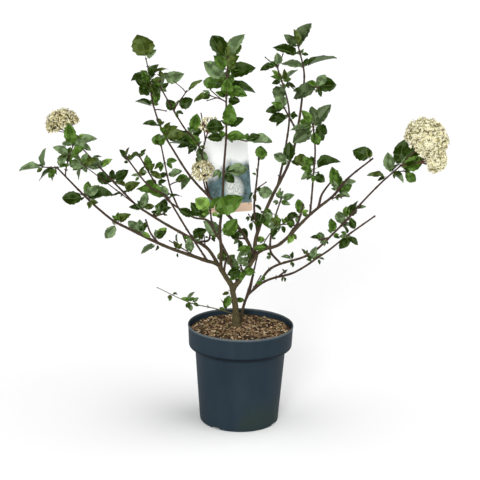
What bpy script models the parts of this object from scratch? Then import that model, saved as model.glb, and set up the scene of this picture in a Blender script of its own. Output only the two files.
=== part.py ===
"""Potted viburnum: a young shrub with two stems, in flower, in a five-litre pot.

Units are millimetres until a mesh is made. The origin is the centre of the pot's flat
underside, +Z is up and -Y is the front.
"""

import math
import random

import bmesh
import bpy
from mathutils import Matrix, Quaternion, Vector
from mathutils.bvhtree import BVHTree
from mathutils.geometry import interpolate_bezier

METRES = 0.001  # one millimetre
GAP = 0.3  # between solids that touch
SEED = 5

# Pot
POT_RIM = 110.0  # radius
POT_HEIGHT = 209.0
POT_BASE = 82.6  # radius
POT_SHOULDER = 94.6  # radius of the body under its collar
POT_WALL = 1.7
POT_FLOOR = 2.5
COLLAR_HEIGHT = 48.0
COLLAR_TAPER = 2.4  # how far the collar's lower edge lies inside the rim
POT_SIDES = 44
NOTCH_WIDTH = 22.0
NOTCH_HEIGHT = 4.0
NOTCH_ANGLES = (-36, 64, 144, 244)  # degrees from the front, round to the right

# Soil
SOIL_TOP = 197.0
SOIL_DOME = 1.5  # how much lower the soil is at the wall
SOIL_LEVEL = 0.72  # share of its radius over which the soil is level
SOIL_SIDES = 36

# Label card and its tie
CARD_WIDTH = 93.0
CARD_HEIGHT = 157.0
CARD_THICKNESS = 0.8
CARD_CORNER = 5.0
CARD_CENTRE = (-33.0, 94.0, 503.0)
CARD_LEAN = 5.3  # degrees, its top towards the left
CORNER_STEPS = 4
TIE_THICKNESS = 2.0
TIE_DEPTH = 86.0  # where the middle of the tie lies, front to back
TIE_SHARE = 0.78  # place along the stem that the tie goes round
TIE_HOLE = 4.2  # diameter

# Stems
STEP = 24.0  # distance between the rings of a limb
TRUNK_SIDES = 10
LIMB_SIDES = 6
TWIG_SIDES = 3
FLARE = 5.0  # how much the foot of the trunk widens
FLARE_REACH = 9.0

# Each limb: what carries it, the share of the way along that where it starts,
# the places it passes through to its tip, and its radius at both ends.
LIMBS = {
    "trunk": (None, 0, [(-9, 19, 197), (-12, 17, 242), (-20, 14, 284)], (7.4, 5.6)),
    "stem_back": (None, 0, [(-2, 42, 197), (12, 44, 254), (33, 42, 277)], (3.6, 2.6)),
    "bough_left": ("trunk", 1, [(-32, 10, 305), (-45, 6, 328)], (4.9, 4.2)),
    "bough_right": ("trunk", 0.93, [(-1, 10, 305), (29, 4, 356)], (4.9, 3.8)),
    "bough_left_low": (
        "bough_left", 1, [(-76, -12, 347), (-155, -60, 388), (-242, -115, 445)], (3.3, 2.0)),
    "bough_left_back": (
        "bough_left", 0.84, [(-71, 24, 362), (-99, 42, 375), (-166, 80, 402), (-214, 108, 424)],
        (3.1, 1.9)),
    "bough_left_front": ("bough_left_low", 0.13, [(-109, -62, 420), (-147, -105, 497)], (1.7, 1.3)),
    "bough_centre": (
        "bough_left", 0.93, [(-43, -12, 372), (-46, -24, 415), (-42, -34, 469), (-40, -40, 538)],
        (2.9, 1.8)),
    "bough_cross": ("bough_right", 0.12, [(-31, -30, 366), (-67, -62, 440)], (2.0, 1.6)),
    "bough_inner_left": ("bough_cross", 1, [(-99, -62, 449), (-140, -55, 473)], (1.6, 1.3)),
    "bough_leader": (
        "bough_right", 0.66, [(19, 26, 361), (-3, 50, 395), (-39, 70, 433), (-80, 82, 469)],
        (2.9, 2.2)),
    "bough_top_left": ("bough_leader", 1, [(-117, 100, 506), (-152, 125, 554)], (2.1, 1.6)),
    "bough_top_inner": (
        "bough_leader", 0.93, [(-79, 56, 505), (-84, 45, 545), (-92, 40, 573)], (1.5, 1.3)),
    "bough_right_low": (
        "bough_right", 1, [(76, -30, 389), (133, -75, 462), (170, -100, 501)], (3.1, 2.0)),
    "bough_right_tall": (
        "bough_right", 0.93, [(28, 24, 387), (52, 52, 451), (84, 78, 512)], (2.9, 2.1)),
    "bough_right_top": ("bough_right_tall", 1, [(104, 90, 566), (113, 96, 622)], (2.0, 1.6)),
    "bough_right_up": ("bough_right_low", 0.74, [(133, -110, 503), (134, -135, 560)], (1.6, 1.2)),
    "bough_low_right": ("stem_back", 1, [(109, -20, 328), (164, -90, 388)], (2.0, 1.4)),
    "bough_far_right": (
        "stem_back", 0.9, [(63, 46, 318), (142, 34, 353), (203, 22, 417)], (2.2, 1.6)),
}

# Each mass of foliage: the limb that carries it and where, the places its own stem passes
# through, the shares of that stem where pairs of leaves grow, the length of a leaf and the
# turn of the last pair. A shoot is (share along the stem, tip, shares of its leaf pairs,
# leaf, turn), and a head of blossom is (centre, radius, height).
MASSES = {
    "foliage_left_low": dict(
        limb="bough_left_low", share=1, line=[(-277, -135, 477), (-312, -158, 518), (-351, -185, 568)],
        nodes=(0.03, 0.42, 0.5, 0.64, 0.9, 1), leaf=42, turn=0,
        shoots=[(0.86, (-323, -172, 608), (0.45, 0.75, 1), 32, 60), (0.99, (-375, -200, 572), (1,), 46, 20)]),
    "foliage_left_back": dict(
        limb="bough_left_back", share=1, line=[(-261, 138, 459), (-316, 168, 508), (-357, 188, 546)],
        nodes=(0.26, 0.36, 0.62, 0.7, 0.86, 0.94, 1), leaf=40, turn=0,
        shoots=[(0.04, (-342, 120, 517), (0.6, 0.8, 1), 34, 30)],
        heads=[((-398, 196, 603), 37, 27)]),
    "foliage_left_front": dict(
        limb="bough_left_front", share=1, line=[(-181, -125, 522), (-225, -150, 585)],
        nodes=(0.04, 0.14, 0.75, 1), leaf=42, turn=0),
    "foliage_inner_left": dict(
        limb="bough_inner_left", share=1, line=[(-169, -70, 511), (-203, -90, 574)],
        nodes=(0.5, 0.78, 1), leaf=38, turn=0),
    "foliage_inner_tall": dict(
        limb="bough_inner_left", share=0.85, line=[(-146, -48, 505), (-165, -35, 587)],
        nodes=(0.3, 0.6, 0.76), leaf=38, turn=0,
        shoots=[(0.35, (-118, -50, 522), (0.7, 1), 34, 0)]),
    "foliage_top_left": dict(
        limb="bough_top_left", share=1, line=[(-176, 135, 595), (-196, 148, 652), (-204, 160, 710)],
        nodes=(0.12, 0.24, 0.56, 0.64, 0.82, 0.92, 1), leaf=42, turn=0,
        shoots=[(0.7, (-175, 140, 700), (0.45, 0.75, 1), 42, 0), (0.99, (-212, 162, 740), (1,), 52, 90)]),
    "foliage_top_inner": dict(
        limb="bough_top_inner", share=1, line=[(-121, 32, 611), (-147, 22, 655), (-169, 10, 696)],
        nodes=(0.02, 0.12, 0.24, 0.62, 0.9, 1), leaf=44, turn=0,
        shoots=[(0.62, (-119, 16, 688), (0.55, 1), 40, 0)]),
    "blossom_upper": dict(
        limb="bough_top_inner", share=0.86, line=[(-78, 26, 594)],
        nodes=(), leaf=20, turn=0,
        heads=[((-72, 20, 622), 25, 17)]),
    "blossom_middle": dict(
        limb="bough_leader", share=0.97, line=[(-81, 34, 499)],
        nodes=(), leaf=20, turn=0,
        heads=[((-83, 10, 529), 23, 16)]),
    "foliage_centre": dict(
        limb="bough_centre", share=1, line=[(-36, -50, 614), (-37, -56, 684), (-35, -62, 766)],
        nodes=(0.02, 0.33, 0.4, 0.62, 0.7, 0.78, 0.86, 0.93, 1), leaf=50, turn=0,
        shoots=[(0.3, (3, -40, 601), (1,), 54, 90), (0.62, (-67, -66, 693), (1,), 40, 0)]),
    "foliage_middle": dict(
        limb="bough_cross", share=0.9, line=[(-65, -76, 466)], nodes=(0.5, 1), leaf=62, turn=0),
    "foliage_hanging": dict(
        limb="bough_centre", share=0.5, line=[(-44, -48, 443)], nodes=(0.5, 1), leaf=44, turn=0),
    "foliage_fork_left": dict(
        limb="bough_left", share=0.7, line=[(-33, 0, 347)], nodes=(1,), leaf=36, turn=0),
    "foliage_fork_right": dict(
        limb="bough_right", share=0.4, line=[(-2, -10, 336)], nodes=(0.4, 1), leaf=42, turn=0),
    "foliage_node": dict(
        limb="bough_right", share=0.9, line=[(20, -10, 372)], nodes=(0.5, 1), leaf=30, turn=0),
    "foliage_leader_low": dict(
        limb="bough_leader", share=0.3, line=[(-9, 36, 383)], nodes=(0.4, 1), leaf=32, turn=0),
    "foliage_right_node": dict(
        limb="bough_right_tall", share=0.5, line=[(40, 36, 440)], nodes=(0.4, 1), leaf=36, turn=0),
    "foliage_right_inner": dict(
        limb="bough_right_tall", share=0.25, line=[(23, 20, 452), (27, 8, 513), (30, 0, 556)],
        nodes=(0.2, 0.5, 1), leaf=30, turn=90),
    "foliage_right_mid": dict(
        limb="bough_right_top", share=0.8, line=[(81, 80, 651)], nodes=(0.3, 0.7, 1), leaf=42, turn=0),
    "foliage_right_elbow": dict(
        limb="bough_right_tall", share=0.93, line=[(95, 60, 544)], nodes=(0.5, 1), leaf=44, turn=0),
    "foliage_right_top": dict(
        limb="bough_right_top", share=1, line=[(118, 100, 669), (122, 102, 723), (115, 104, 780)],
        nodes=(0.08, 0.18, 0.42, 0.52, 0.68, 0.76, 0.93, 1), leaf=48, turn=90,
        shoots=[(0.45, (149, 84, 701), (0.6, 1), 44, 0)]),
    "foliage_right_back": dict(
        limb="bough_right_tall", share=0.85, line=[(87, 128, 554), (94, 165, 634), (67, 195, 723)],
        nodes=(0.66, 0.76, 0.92, 1), leaf=34, turn=0),
    "foliage_right_up": dict(
        limb="bough_right_up", share=1, line=[(135, -142, 604), (129, -148, 653)],
        nodes=(0.04, 0.16, 0.6, 0.78, 0.9, 1), leaf=44, turn=0),
    "foliage_right_end": dict(
        limb="bough_right_low", share=1, line=[(201, -130, 548), (242, -165, 593)],
        nodes=(0.14, 0.4, 0.56, 1), leaf=36, turn=0),
    "foliage_right_spray": dict(
        limb="bough_right_low", share=0.85, line=[(155, -80, 505), (178, -72, 536)],
        nodes=(0.6, 1), leaf=40, turn=0),
    "foliage_right_under": dict(
        limb="bough_right_low", share=0.42, line=[(113, -42, 443), (120, -36, 472)],
        nodes=(0.3, 0.6, 1), leaf=34, turn=0,
        shoots=[(0.3, (69, -50, 434), (0.6, 1), 34, 0)]),
    "foliage_low_right": dict(
        limb="bough_low_right", share=1, line=[(202, -140, 436), (247, -195, 488)],
        nodes=(0.04, 0.4, 0.5), leaf=32, turn=0),
    "foliage_far_right": dict(
        limb="bough_far_right", share=1, line=[(239, 14, 464), (278, 8, 510), (316, 0, 549)],
        nodes=(0.04, 0.14, 0.24, 0.8, 0.92, 1), leaf=40, turn=0,
        heads=[((365, 0, 607), 44, 38), ((384, -10, 569), 23, 22)]),
    "foliage_far_middle": dict(
        limb="bough_far_right", share=0.84, line=[(160, 20, 387)], nodes=(0.4, 1), leaf=30, turn=0),
    "foliage_thin_right": dict(
        limb="bough_far_right", share=0.3, line=[(59, 48, 356), (67, 56, 421), (79, 62, 462)],
        nodes=(0.3, 0.94, 1), leaf=30, turn=0),
    "twigs_behind": dict(
        limb="stem_back", share=0.4, line=[(20, 52, 284), (32, 58, 338)],
        nodes=(), leaf=20, turn=0),
    "foliage_low_small": dict(
        limb="bough_low_right", share=0.28, line=[(89, -20, 330)], nodes=(1,), leaf=22, turn=0),
    "foliage_left_inner": dict(
        limb="bough_left_back", share=0.32, line=[(-69, 22, 382), (-69, 14, 413)],
        nodes=(0.4, 1), leaf=34, turn=0),
    "foliage_left_under": dict(
        limb="bough_left_back", share=0.5, line=[(-118, 60, 364)], nodes=(0.4, 1), leaf=28, turn=0),
    "foliage_left_middle": dict(
        limb="bough_left_low", share=0.62, line=[(-183, -90, 424), (-190, -98, 448)],
        nodes=(0.4, 0.7, 1), leaf=40, turn=0),
    "foliage_left_ridge": dict(
        limb="bough_left_back", share=0.86, line=[(-168, 86, 420)], nodes=(0.4, 1), leaf=38, turn=0),
    "wisp_low": dict(
        limb="trunk", share=0.3, line=[(-54, 8, 238), (-106, -6, 254), (-171, -22, 289)],
        nodes=(0.42, 0.58, 0.78), leaf=20, turn=0,
        shoots=[(0.12, (-27, 0, 251), (0.5, 1), 30, 0)]),
}

# Leaves and twigs
TWIG_FOOT = 1.7  # largest radius where a mass starts
TWIG_STEP_IN = 0.9  # of its limb's radius there
TWIG_TIP = 0.9  # radius
SHOOT_FOOT = 1.1  # radius
LEAF_OUTLINE = ((0.0, 0.0), (0.36, 0.31), (0.72, 0.26), (1.0, 0.0))  # along and half across
LEAF_THICKNESS = 0.018  # share of its length
LEAF_THICKEST = 0.3  # share of its length
LEAF_FOLD = 0.07  # how far its halves rise from the midrib
LEAF_DROOP = 0.10  # how far its tip falls
LEAF_SIZES = (0.82, 1.12)  # smallest and largest share of its mass's leaf length
LEAF_STRAY = 9.0  # degrees either side of its lean
LEAF_ROLL = 16.0  # degrees either way about its midrib
LEAF_LEAN = (62, 34)  # degrees from the twig, on the first and the last pair
AXIL_CHANCE = 0.4  # that a node also bears a pair of young leaves
AXIL_SIZE = 0.55  # of a full leaf
AXIL_RISE = 3.0  # above the node
LEAF_SWINGS = (0, 24, -24, 48, -48)  # degrees that a leaf may turn to find room
TIP_SINK = 2.4  # how far below the end of a twig its last leaves start
LIGHT = Vector((0.0, -0.9, 0.75))  # leaves face this way as far as they can
CLEARANCE = 0.8  # kept between a leaf and what it isn't fused to
CLEAR_FROM = 0.25  # share of a leaf beyond which it keeps clear of its own twig as well
CLEAR_LENGTH = 1.03  # how much longer the leaf is that is tried for room
FINE_HEAD = 40.0  # radius above which a flower head gets finer faces
HEAD_DENT = 0.07  # unevenness of a flower head

COLOURS = {
    "pot": (0.030, 0.045, 0.062, 1.0),
    "soil": (0.085, 0.048, 0.025, 1.0),
    "bark": (0.110, 0.066, 0.036, 1.0),
    "foliage": (0.050, 0.115, 0.030, 1.0),
    "card": (0.800, 0.800, 0.760, 1.0),
    "tie": (0.700, 0.700, 0.650, 1.0),
}
ROUGHNESS = {"pot": 0.45, "soil": 0.95, "bark": 0.8, "foliage": 0.5, "card": 0.35, "tie": 0.5}


def clear_scene():
    for obj in list(bpy.data.objects):
        bpy.data.objects.remove(obj, do_unlink=True)


def make_materials():
    made = {}
    for name, colour in COLOURS.items():
        material = bpy.data.materials.new(name)
        material.use_nodes = True
        shader = material.node_tree.nodes["Principled BSDF"]
        shader.inputs["Base Color"].default_value = colour
        shader.inputs["Roughness"].default_value = ROUGHNESS[name]
        shader.inputs["Metallic"].default_value = 0.0
        made[name] = material
    return made


def add_object(name, points, faces, material=None, collection=None):
    """An object whose mesh has these points, in millimetres, and these faces."""
    mesh = bpy.data.meshes.new(name)
    mesh.from_pydata([tuple(Vector(point) * METRES) for point in points], [], faces)
    if material:
        mesh.materials.append(material)
    obj = bpy.data.objects.new(name, mesh)
    (collection or bpy.context.scene.collection).objects.link(obj)
    return obj


def apply_modifiers(obj):
    bpy.context.view_layer.update()
    mesh = bpy.data.meshes.new_from_object(obj.evaluated_get(bpy.context.evaluated_depsgraph_get()))
    obj.modifiers.clear()
    obj.data = mesh


def cut(obj, cutters):
    """Takes the cutters out of an object and removes them."""
    for cutter in cutters:
        boolean = obj.modifiers.new("cut", "BOOLEAN")
        boolean.operation = "DIFFERENCE"
        boolean.object = cutter
    apply_modifiers(obj)
    for cutter in cutters:
        bpy.data.objects.remove(cutter, do_unlink=True)


# ---- Pot, soil, label and tie


def turned(name, outline, sides, material):
    """A solid turned round Z from (radius, height) points that start and end on the axis."""
    points = [(0, 0, outline[0][1]), (0, 0, outline[-1][1])]
    for radius, height in outline[1:-1]:
        for side in range(sides):
            angle = math.tau * side / sides
            points.append((radius * math.cos(angle), radius * math.sin(angle), height))
    faces = []
    last_ring = 2 + (len(outline) - 3) * sides
    for side in range(sides):
        after = (side + 1) % sides
        faces.append((0, 2 + after, 2 + side))
        for ring in range(2, last_ring, sides):
            upper = ring + sides
            faces.append((ring + side, ring + after, upper + after, upper + side))
        faces.append((1, last_ring + side, last_ring + after))
    obj = add_object(name, points, faces, material)
    obj.data.shade_smooth()
    obj.data.set_sharp_from_angle(angle=math.radians(35))
    return obj


def inside_radius(height):
    """Radius of the pot's inner face at this height below its collar."""
    share = height / (POT_HEIGHT - COLLAR_HEIGHT)
    return POT_BASE + (POT_SHOULDER - POT_BASE) * share - POT_WALL


def make_pot(materials):
    shoulder = POT_HEIGHT - COLLAR_HEIGHT
    lower = POT_RIM - COLLAR_TAPER
    inner = POT_RIM - POT_WALL
    outline = [
        (0, 0),
        (POT_BASE - 3.5, 0),
        (POT_BASE - 1.0, 1.0),
        (POT_BASE, 3.5),
        (POT_SHOULDER, shoulder),
        (lower - 4.5, shoulder + 0.5),
        (lower - 1.2, shoulder + 1.8),
        (lower, shoulder + 5.0),
        (POT_RIM - 0.5, POT_HEIGHT - 30),
        (POT_RIM, POT_HEIGHT - 3.0),
        (POT_RIM - 0.6, POT_HEIGHT - 0.8),
        (POT_RIM - 1.4, POT_HEIGHT),
        (inner - 1.2, POT_HEIGHT),
        (inner - 1.9, POT_HEIGHT - 1.2),
        (inner - COLLAR_TAPER, shoulder + 4.0),
        (inside_radius(shoulder), shoulder + 1.0),
        (inside_radius(POT_FLOOR), POT_FLOOR),
        (0, POT_FLOOR),
    ]
    pot = turned("pot", outline, POT_SIDES, materials["pot"])
    cutters = []
    for angle in NOTCH_ANGLES:
        bpy.ops.mesh.primitive_cube_add(size=METRES)
        cutter = bpy.context.active_object
        turn = Matrix.Rotation(math.radians(angle), 4, "Z")
        place = turn @ Matrix.Translation((0, -POT_BASE * METRES, 0))
        size = Matrix.Diagonal((NOTCH_WIDTH, 16, 2 * NOTCH_HEIGHT, 1))
        cutter.data.transform(place @ size)
        cutters.append(cutter)
    cut(pot, cutters)
    return pot


def make_soil(materials):
    shoulder = POT_HEIGHT - COLLAR_HEIGHT
    edge = POT_RIM - POT_WALL - COLLAR_TAPER - GAP
    outline = [
        (0, POT_FLOOR + GAP),
        (inside_radius(POT_FLOOR) - 1.5, POT_FLOOR + GAP),
        (inside_radius(shoulder) - 2 * GAP, shoulder + 1.0),
        (edge - 1.5, shoulder + 6.0),
        (edge, SOIL_TOP - SOIL_DOME),
        (edge * SOIL_LEVEL, SOIL_TOP),
        (0, SOIL_TOP),
    ]
    return turned("soil", outline, SOIL_SIDES, materials["soil"])


def card_outline():
    """Corner points of the card in its own plane, centre at (0, 0), each corner an arc."""
    points = []
    for corner in range(4):
        side = 1 if corner in (0, 3) else -1
        end = 1 if corner < 2 else -1
        middle_x = side * (CARD_WIDTH / 2 - CARD_CORNER)
        middle_z = end * (CARD_HEIGHT / 2 - CARD_CORNER)
        for step in range(CORNER_STEPS + 1):
            angle = math.radians(90 * (corner + step / CORNER_STEPS))
            points.append((middle_x + CARD_CORNER * math.cos(angle),
                           middle_z + CARD_CORNER * math.sin(angle)))
    return points


def make_card_and_tie(stem, materials):
    """The card stands behind the stem. The tie is a ring round the stem through two holes."""
    frame = Matrix.Translation(CARD_CENTRE) @ Matrix.Rotation(math.radians(-CARD_LEAN), 4, "Y")
    outline = card_outline()
    count = len(outline)
    points = [frame @ Vector((x, face * CARD_THICKNESS / 2, z)) for face in (-1, 1) for x, z in outline]
    faces = [tuple(range(count)), tuple(reversed(range(count, 2 * count)))]
    for side in range(count):
        after = (side + 1) % count
        faces.append((side, count + side, count + after, after))
    card = add_object("label_card", points, faces, materials["card"])

    point, direction, stem_radius = stem.at(TIE_SHARE)
    across = direction.cross(Vector((0, 1, 0))).normalized()
    back = across.cross(direction).normalized()
    if back.y < 0:
        back.negate()
    offset = (TIE_DEPTH - point.y) / back.y
    centre = point + back * offset
    radius = offset + stem_radius + TIE_THICKNESS / 2 + GAP
    axes = Matrix((across, back, across.cross(back))).transposed().to_4x4()
    bpy.ops.mesh.primitive_torus_add(
        major_radius=radius * METRES, minor_radius=TIE_THICKNESS / 2 * METRES,
        major_segments=20, minor_segments=6)
    tie = bpy.context.active_object
    tie.name = "label_tie"
    tie.data.transform(Matrix.Translation(centre * METRES) @ axes)
    tie.data.materials.append(materials["tie"])

    behind = (CARD_CENTRE[1] - centre.y) / back.y
    reach = math.sqrt(radius**2 - behind**2)
    holes = []
    for side in (-1, 1):
        place = (centre + back * behind + across * side * reach) * METRES
        bpy.ops.mesh.primitive_cylinder_add(
            vertices=8, radius=TIE_HOLE / 2 * METRES, depth=10 * METRES,
            location=place, rotation=(math.pi / 2, 0, 0))
        holes.append(bpy.context.active_object)
    cut(card, holes)
    return [card, tie]


# ---- Limbs


def smooth_line(places, heading=None, step=STEP):
    """Points about a step apart on one smooth curve through the places, leaving along heading."""
    places = [Vector(place) for place in places]
    last = len(places) - 1
    tangents = []
    for index in range(last + 1):
        before = places[max(index - 1, 0)]
        after = places[min(index + 1, last)]
        tangents.append((after - before).normalized())
    if heading:
        tangents[0] = heading.normalized()
    line = [places[0]]
    for index in range(last):
        start, end = places[index], places[index + 1]
        reach = (end - start).length / 3
        count = max(2, round(3 * reach / step))
        handles = start + tangents[index] * reach, end - tangents[index + 1] * reach
        line += interpolate_bezier(start, *handles, end, count + 1)[1:]
    return line


class Stem:
    """A tapering limb or twig along a line of points."""

    def __init__(self, line, radii, sides, foot=None):
        self.line = [Vector(point) for point in line]
        self.sides = sides
        self.lengths = [0.0]
        for before, after in zip(self.line, self.line[1:]):
            self.lengths.append(self.lengths[-1] + (after - before).length)
        self.radii = [radii[0] + (radii[1] - radii[0]) * reach / self.lengths[-1]
                      for reach in self.lengths]
        self.foot = foot  # (point, normal) of the plane that its lower end is cut by

    def at(self, share):
        """Place, direction and radius this share of the way along."""
        reach = share * self.lengths[-1]
        index = 1
        while index < len(self.line) - 1 and self.lengths[index] < reach:
            index += 1
        start, end = self.line[index - 1], self.line[index]
        part = (reach - self.lengths[index - 1]) / (self.lengths[index] - self.lengths[index - 1])
        radius = self.radii[index - 1] + (self.radii[index] - self.radii[index - 1]) * part
        return start.lerp(end, part), (end - start).normalized(), radius

    def mesh(self):
        """Points and faces of a closed tube with flat ends."""
        points, faces = [], []
        across = None
        for index, centre in enumerate(self.line):
            before = self.line[max(index - 1, 0)]
            after = self.line[min(index + 1, len(self.line) - 1)]
            direction = (after - before).normalized()
            if across is None:
                across = direction.orthogonal()
            across = (across - direction * across.dot(direction)).normalized()
            other = direction.cross(across)
            for side in range(self.sides):
                angle = math.tau * side / self.sides
                arm = across * math.cos(angle) + other * math.sin(angle)
                point = centre + arm * self.radii[index]
                if index == 0 and self.foot:
                    origin, normal = self.foot
                    point += direction * (origin - point).dot(normal) / direction.dot(normal)
                points.append(point)
        count = self.sides
        faces.append(tuple(reversed(range(count))))
        for ring in range(0, len(points) - count, count):
            for side in range(count):
                after = (side + 1) % count
                faces.append((ring + side, ring + after, ring + count + after, ring + count + side))
        faces.append(tuple(range(len(points) - count, len(points))))
        return points, faces


def grow_from(parent, share, places, radii, sides, step=STEP):
    """A stem that starts a gap clear of its parent, from its tip or from its side."""
    point, axis, radius = parent.at(share)
    if share == 1:
        start, normal, heading = point + axis * GAP, axis, axis
    else:
        heading = (Vector(places[0]) - point).normalized()
        normal = (heading - axis * heading.dot(axis)).normalized()
        clear = radius + GAP
        start = point + heading * clear / heading.dot(normal)
    line = smooth_line([start, *places], heading, step)
    return Stem(line, radii, sides, (start, normal))


def grow_limbs():
    limbs = {}
    soil = Vector((0, 0, SOIL_TOP + GAP))
    for name, (parent, share, places, radii) in LIMBS.items():
        if parent:
            limbs[name] = grow_from(limbs[parent], share, places, radii, LIMB_SIDES)
            continue
        sides = TRUNK_SIDES if name == "trunk" else LIMB_SIDES
        stem = Stem(smooth_line(places, step=STEP / 3), radii, sides, (soil, Vector((0, 0, 1))))
        widest = radii[0] / LIMBS["trunk"][3][0] * FLARE
        for index, reach in enumerate(stem.lengths):
            stem.radii[index] += widest * math.exp(-reach / FLARE_REACH)
        limbs[name] = stem
    return limbs


# ---- Foliage


def leaf_mesh(base, direction, normal, length, fatten=0.0, start=0.0):
    """A closed folded blade of 12 faces. start leaves out that share of it at its foot."""
    across = direction.cross(normal).normalized()
    half = max(0.4, LEAF_THICKNESS * length / 2) + fatten

    def place(along, side, rise):
        droop = LEAF_DROOP * along * along
        return base + (direction * along + across * side + normal * (rise - droop)) * length

    rim = [(max(start, along), width) for along, width in LEAF_OUTLINE]
    rise = LEAF_FOLD / LEAF_OUTLINE[1][1]
    left = [place(along, width, rise * width) for along, width in rim]
    right = [place(along, -width, rise * width) for along, width in rim[1:-1]]
    edge = left + right[::-1]
    middle = place(start + (1 - start) * LEAF_THICKEST, 0, 0)
    points = edge + [middle + normal * half, middle - normal * half]
    top, bottom = len(edge), len(edge) + 1
    faces = []
    for index in range(len(edge)):
        after = (index + 1) % len(edge)
        faces += [(after, index, top), (index, after, bottom)]
    return points, faces


def head_mesh(centre, radius, height, draw):
    """A dented dome of blossom."""
    bm = bmesh.new()
    bmesh.ops.create_icosphere(bm, subdivisions=3 if radius > FINE_HEAD else 2, radius=1.0)
    points = []
    for vert in bm.verts:
        swell = 1 + HEAD_DENT * draw.uniform(-1, 1)
        points.append(Vector(centre) + Vector((
            vert.co.x * radius * swell, vert.co.y * radius * swell, vert.co.z * height * swell)))
    faces = [tuple(vert.index for vert in face.verts) for face in bm.faces]
    bm.free()
    return points, faces


def tree_of(mesh):
    points, faces = mesh
    return BVHTree.FromPolygons(points, faces)


def is_free(mesh, obstacles):
    tree = tree_of(mesh)
    return not any(tree.overlap(obstacle) for obstacle in obstacles)


class Mass:
    """The twigs, leaves and blossom of one mass, kept apart until they are fused."""

    def __init__(self, name, plan, limbs):
        self.name = name
        self.plan = plan
        self.draw = random.Random(f"{SEED}{name}")
        parent = limbs[plan["limb"]]
        foot = min(parent.at(plan["share"])[2] * TWIG_STEP_IN, TWIG_FOOT)
        self.leader = grow_from(parent, plan["share"], plan["line"], (foot, TWIG_TIP), TWIG_SIDES)
        self.twigs = [(self.leader, plan["nodes"], plan["leaf"], plan["turn"])]
        self.meshes = [self.leader.mesh()]

    def add_shoots(self):
        for share, tip, nodes, leaf, turn in self.plan.get("shoots", ()):
            start, _, _ = self.leader.at(share)
            shoot = Stem(smooth_line([start, tip]), (SHOOT_FOOT, TWIG_TIP), TWIG_SIDES)
            self.twigs.append((shoot, nodes, leaf, turn))
            self.meshes.append(shoot.mesh())

    def add_heads(self):
        tip = self.leader.line[-1]
        for centre, radius, height in self.plan.get("heads", ()):
            stalk = Stem([tip, Vector(centre)], (SHOOT_FOOT + 0.2, SHOOT_FOOT), TWIG_SIDES)
            self.meshes += [stalk.mesh(), head_mesh(centre, radius, height, self.draw)]

    def add_leaves(self, obstacles):
        """Opposite pairs, each a quarter turn from the one before. A leaf with no room is skipped."""
        own = [tree_of(mesh) for mesh in self.meshes]
        for order, (twig, nodes, length, turn) in enumerate(self.twigs):
            rest = obstacles + own[:order] + own[order + 1:]
            for index, share in enumerate(nodes):
                angle = turn + 90 * (len(nodes) - 1 - index)
                self.add_pair(twig, share, angle, length, rest, own)
                if share < 1 and self.draw.random() < AXIL_CHANCE:
                    above = share + AXIL_RISE / twig.lengths[-1]
                    self.add_pair(twig, above, angle + 90, length * AXIL_SIZE, rest, own)

    def add_pair(self, twig, share, angle, length, rest, own):
        for side in (0, 180):
            leaf = self.place_leaf(twig, share, angle + side, length, rest)
            if leaf:
                self.meshes.append(leaf)
                rest.append(tree_of(leaf))
                own.append(rest[-1])

    def place_leaf(self, twig, share, angle, length, obstacles):
        point, axis, _ = twig.at(share)
        picture_side = axis.cross(Vector((0, 1, 0))).normalized()
        lean = LEAF_LEAN[0] + (LEAF_LEAN[1] - LEAF_LEAN[0]) * share
        lean = math.radians(lean + self.draw.uniform(-LEAF_STRAY, LEAF_STRAY))
        size = length * self.draw.uniform(*LEAF_SIZES)
        roll = math.radians(self.draw.uniform(-LEAF_ROLL, LEAF_ROLL))
        if share == 1:
            point = point - axis * TIP_SINK
        for swing in LEAF_SWINGS:
            spread = Quaternion(axis, math.radians(angle + swing)) @ picture_side
            direction = (axis * math.cos(lean) + spread * math.sin(lean)).normalized()
            upper = axis * math.sin(lean) - spread * math.cos(lean) + LIGHT
            normal = (upper - direction * upper.dot(direction)).normalized()
            normal = Quaternion(direction, roll) @ normal
            trial = leaf_mesh(point, direction, normal, size * CLEAR_LENGTH, CLEARANCE, CLEAR_FROM)
            if is_free(trial, obstacles):
                return leaf_mesh(point, direction, normal, size)
        return None

    def fuse(self, material):
        """One closed solid: a union of all the pieces, without loose scraps or sealed hollows."""
        helpers = bpy.data.collections.new(self.name + "_pieces")
        bpy.context.scene.collection.children.link(helpers)
        body = add_object(self.name, *self.meshes[0], material)
        for index, (points, faces) in enumerate(self.meshes[1:]):
            add_object(f"{self.name}_piece_{index}", points, faces, material, helpers)
        if len(self.meshes) > 1:
            union = body.modifiers.new("union", "BOOLEAN")
            union.operation = "UNION"
            union.operand_type = "COLLECTION"
            union.collection = helpers
            apply_modifiers(body)
        for obj in list(helpers.objects):
            bpy.data.objects.remove(obj, do_unlink=True)
        bpy.data.collections.remove(helpers)
        keep_main_body(body)
        return body


def keep_main_body(obj):
    """Drops every shell but the largest one. Faces of one shell share edges that have two faces."""
    bm = bmesh.new()
    bm.from_mesh(obj.data)
    unseen = set(bm.faces)
    shells = []
    while unseen:
        front = [unseen.pop()]
        shell = list(front)
        while front:
            for edge in front.pop().edges:
                for face in edge.link_faces:
                    if len(edge.link_faces) == 2 and face in unseen:
                        unseen.discard(face)
                        front.append(face)
                        shell.append(face)
        shells.append(shell)
    shells.sort(key=len)
    for shell in shells[:-1]:
        bmesh.ops.delete(bm, geom=shell, context="FACES")
    bm.to_mesh(obj.data)
    bm.free()


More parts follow.
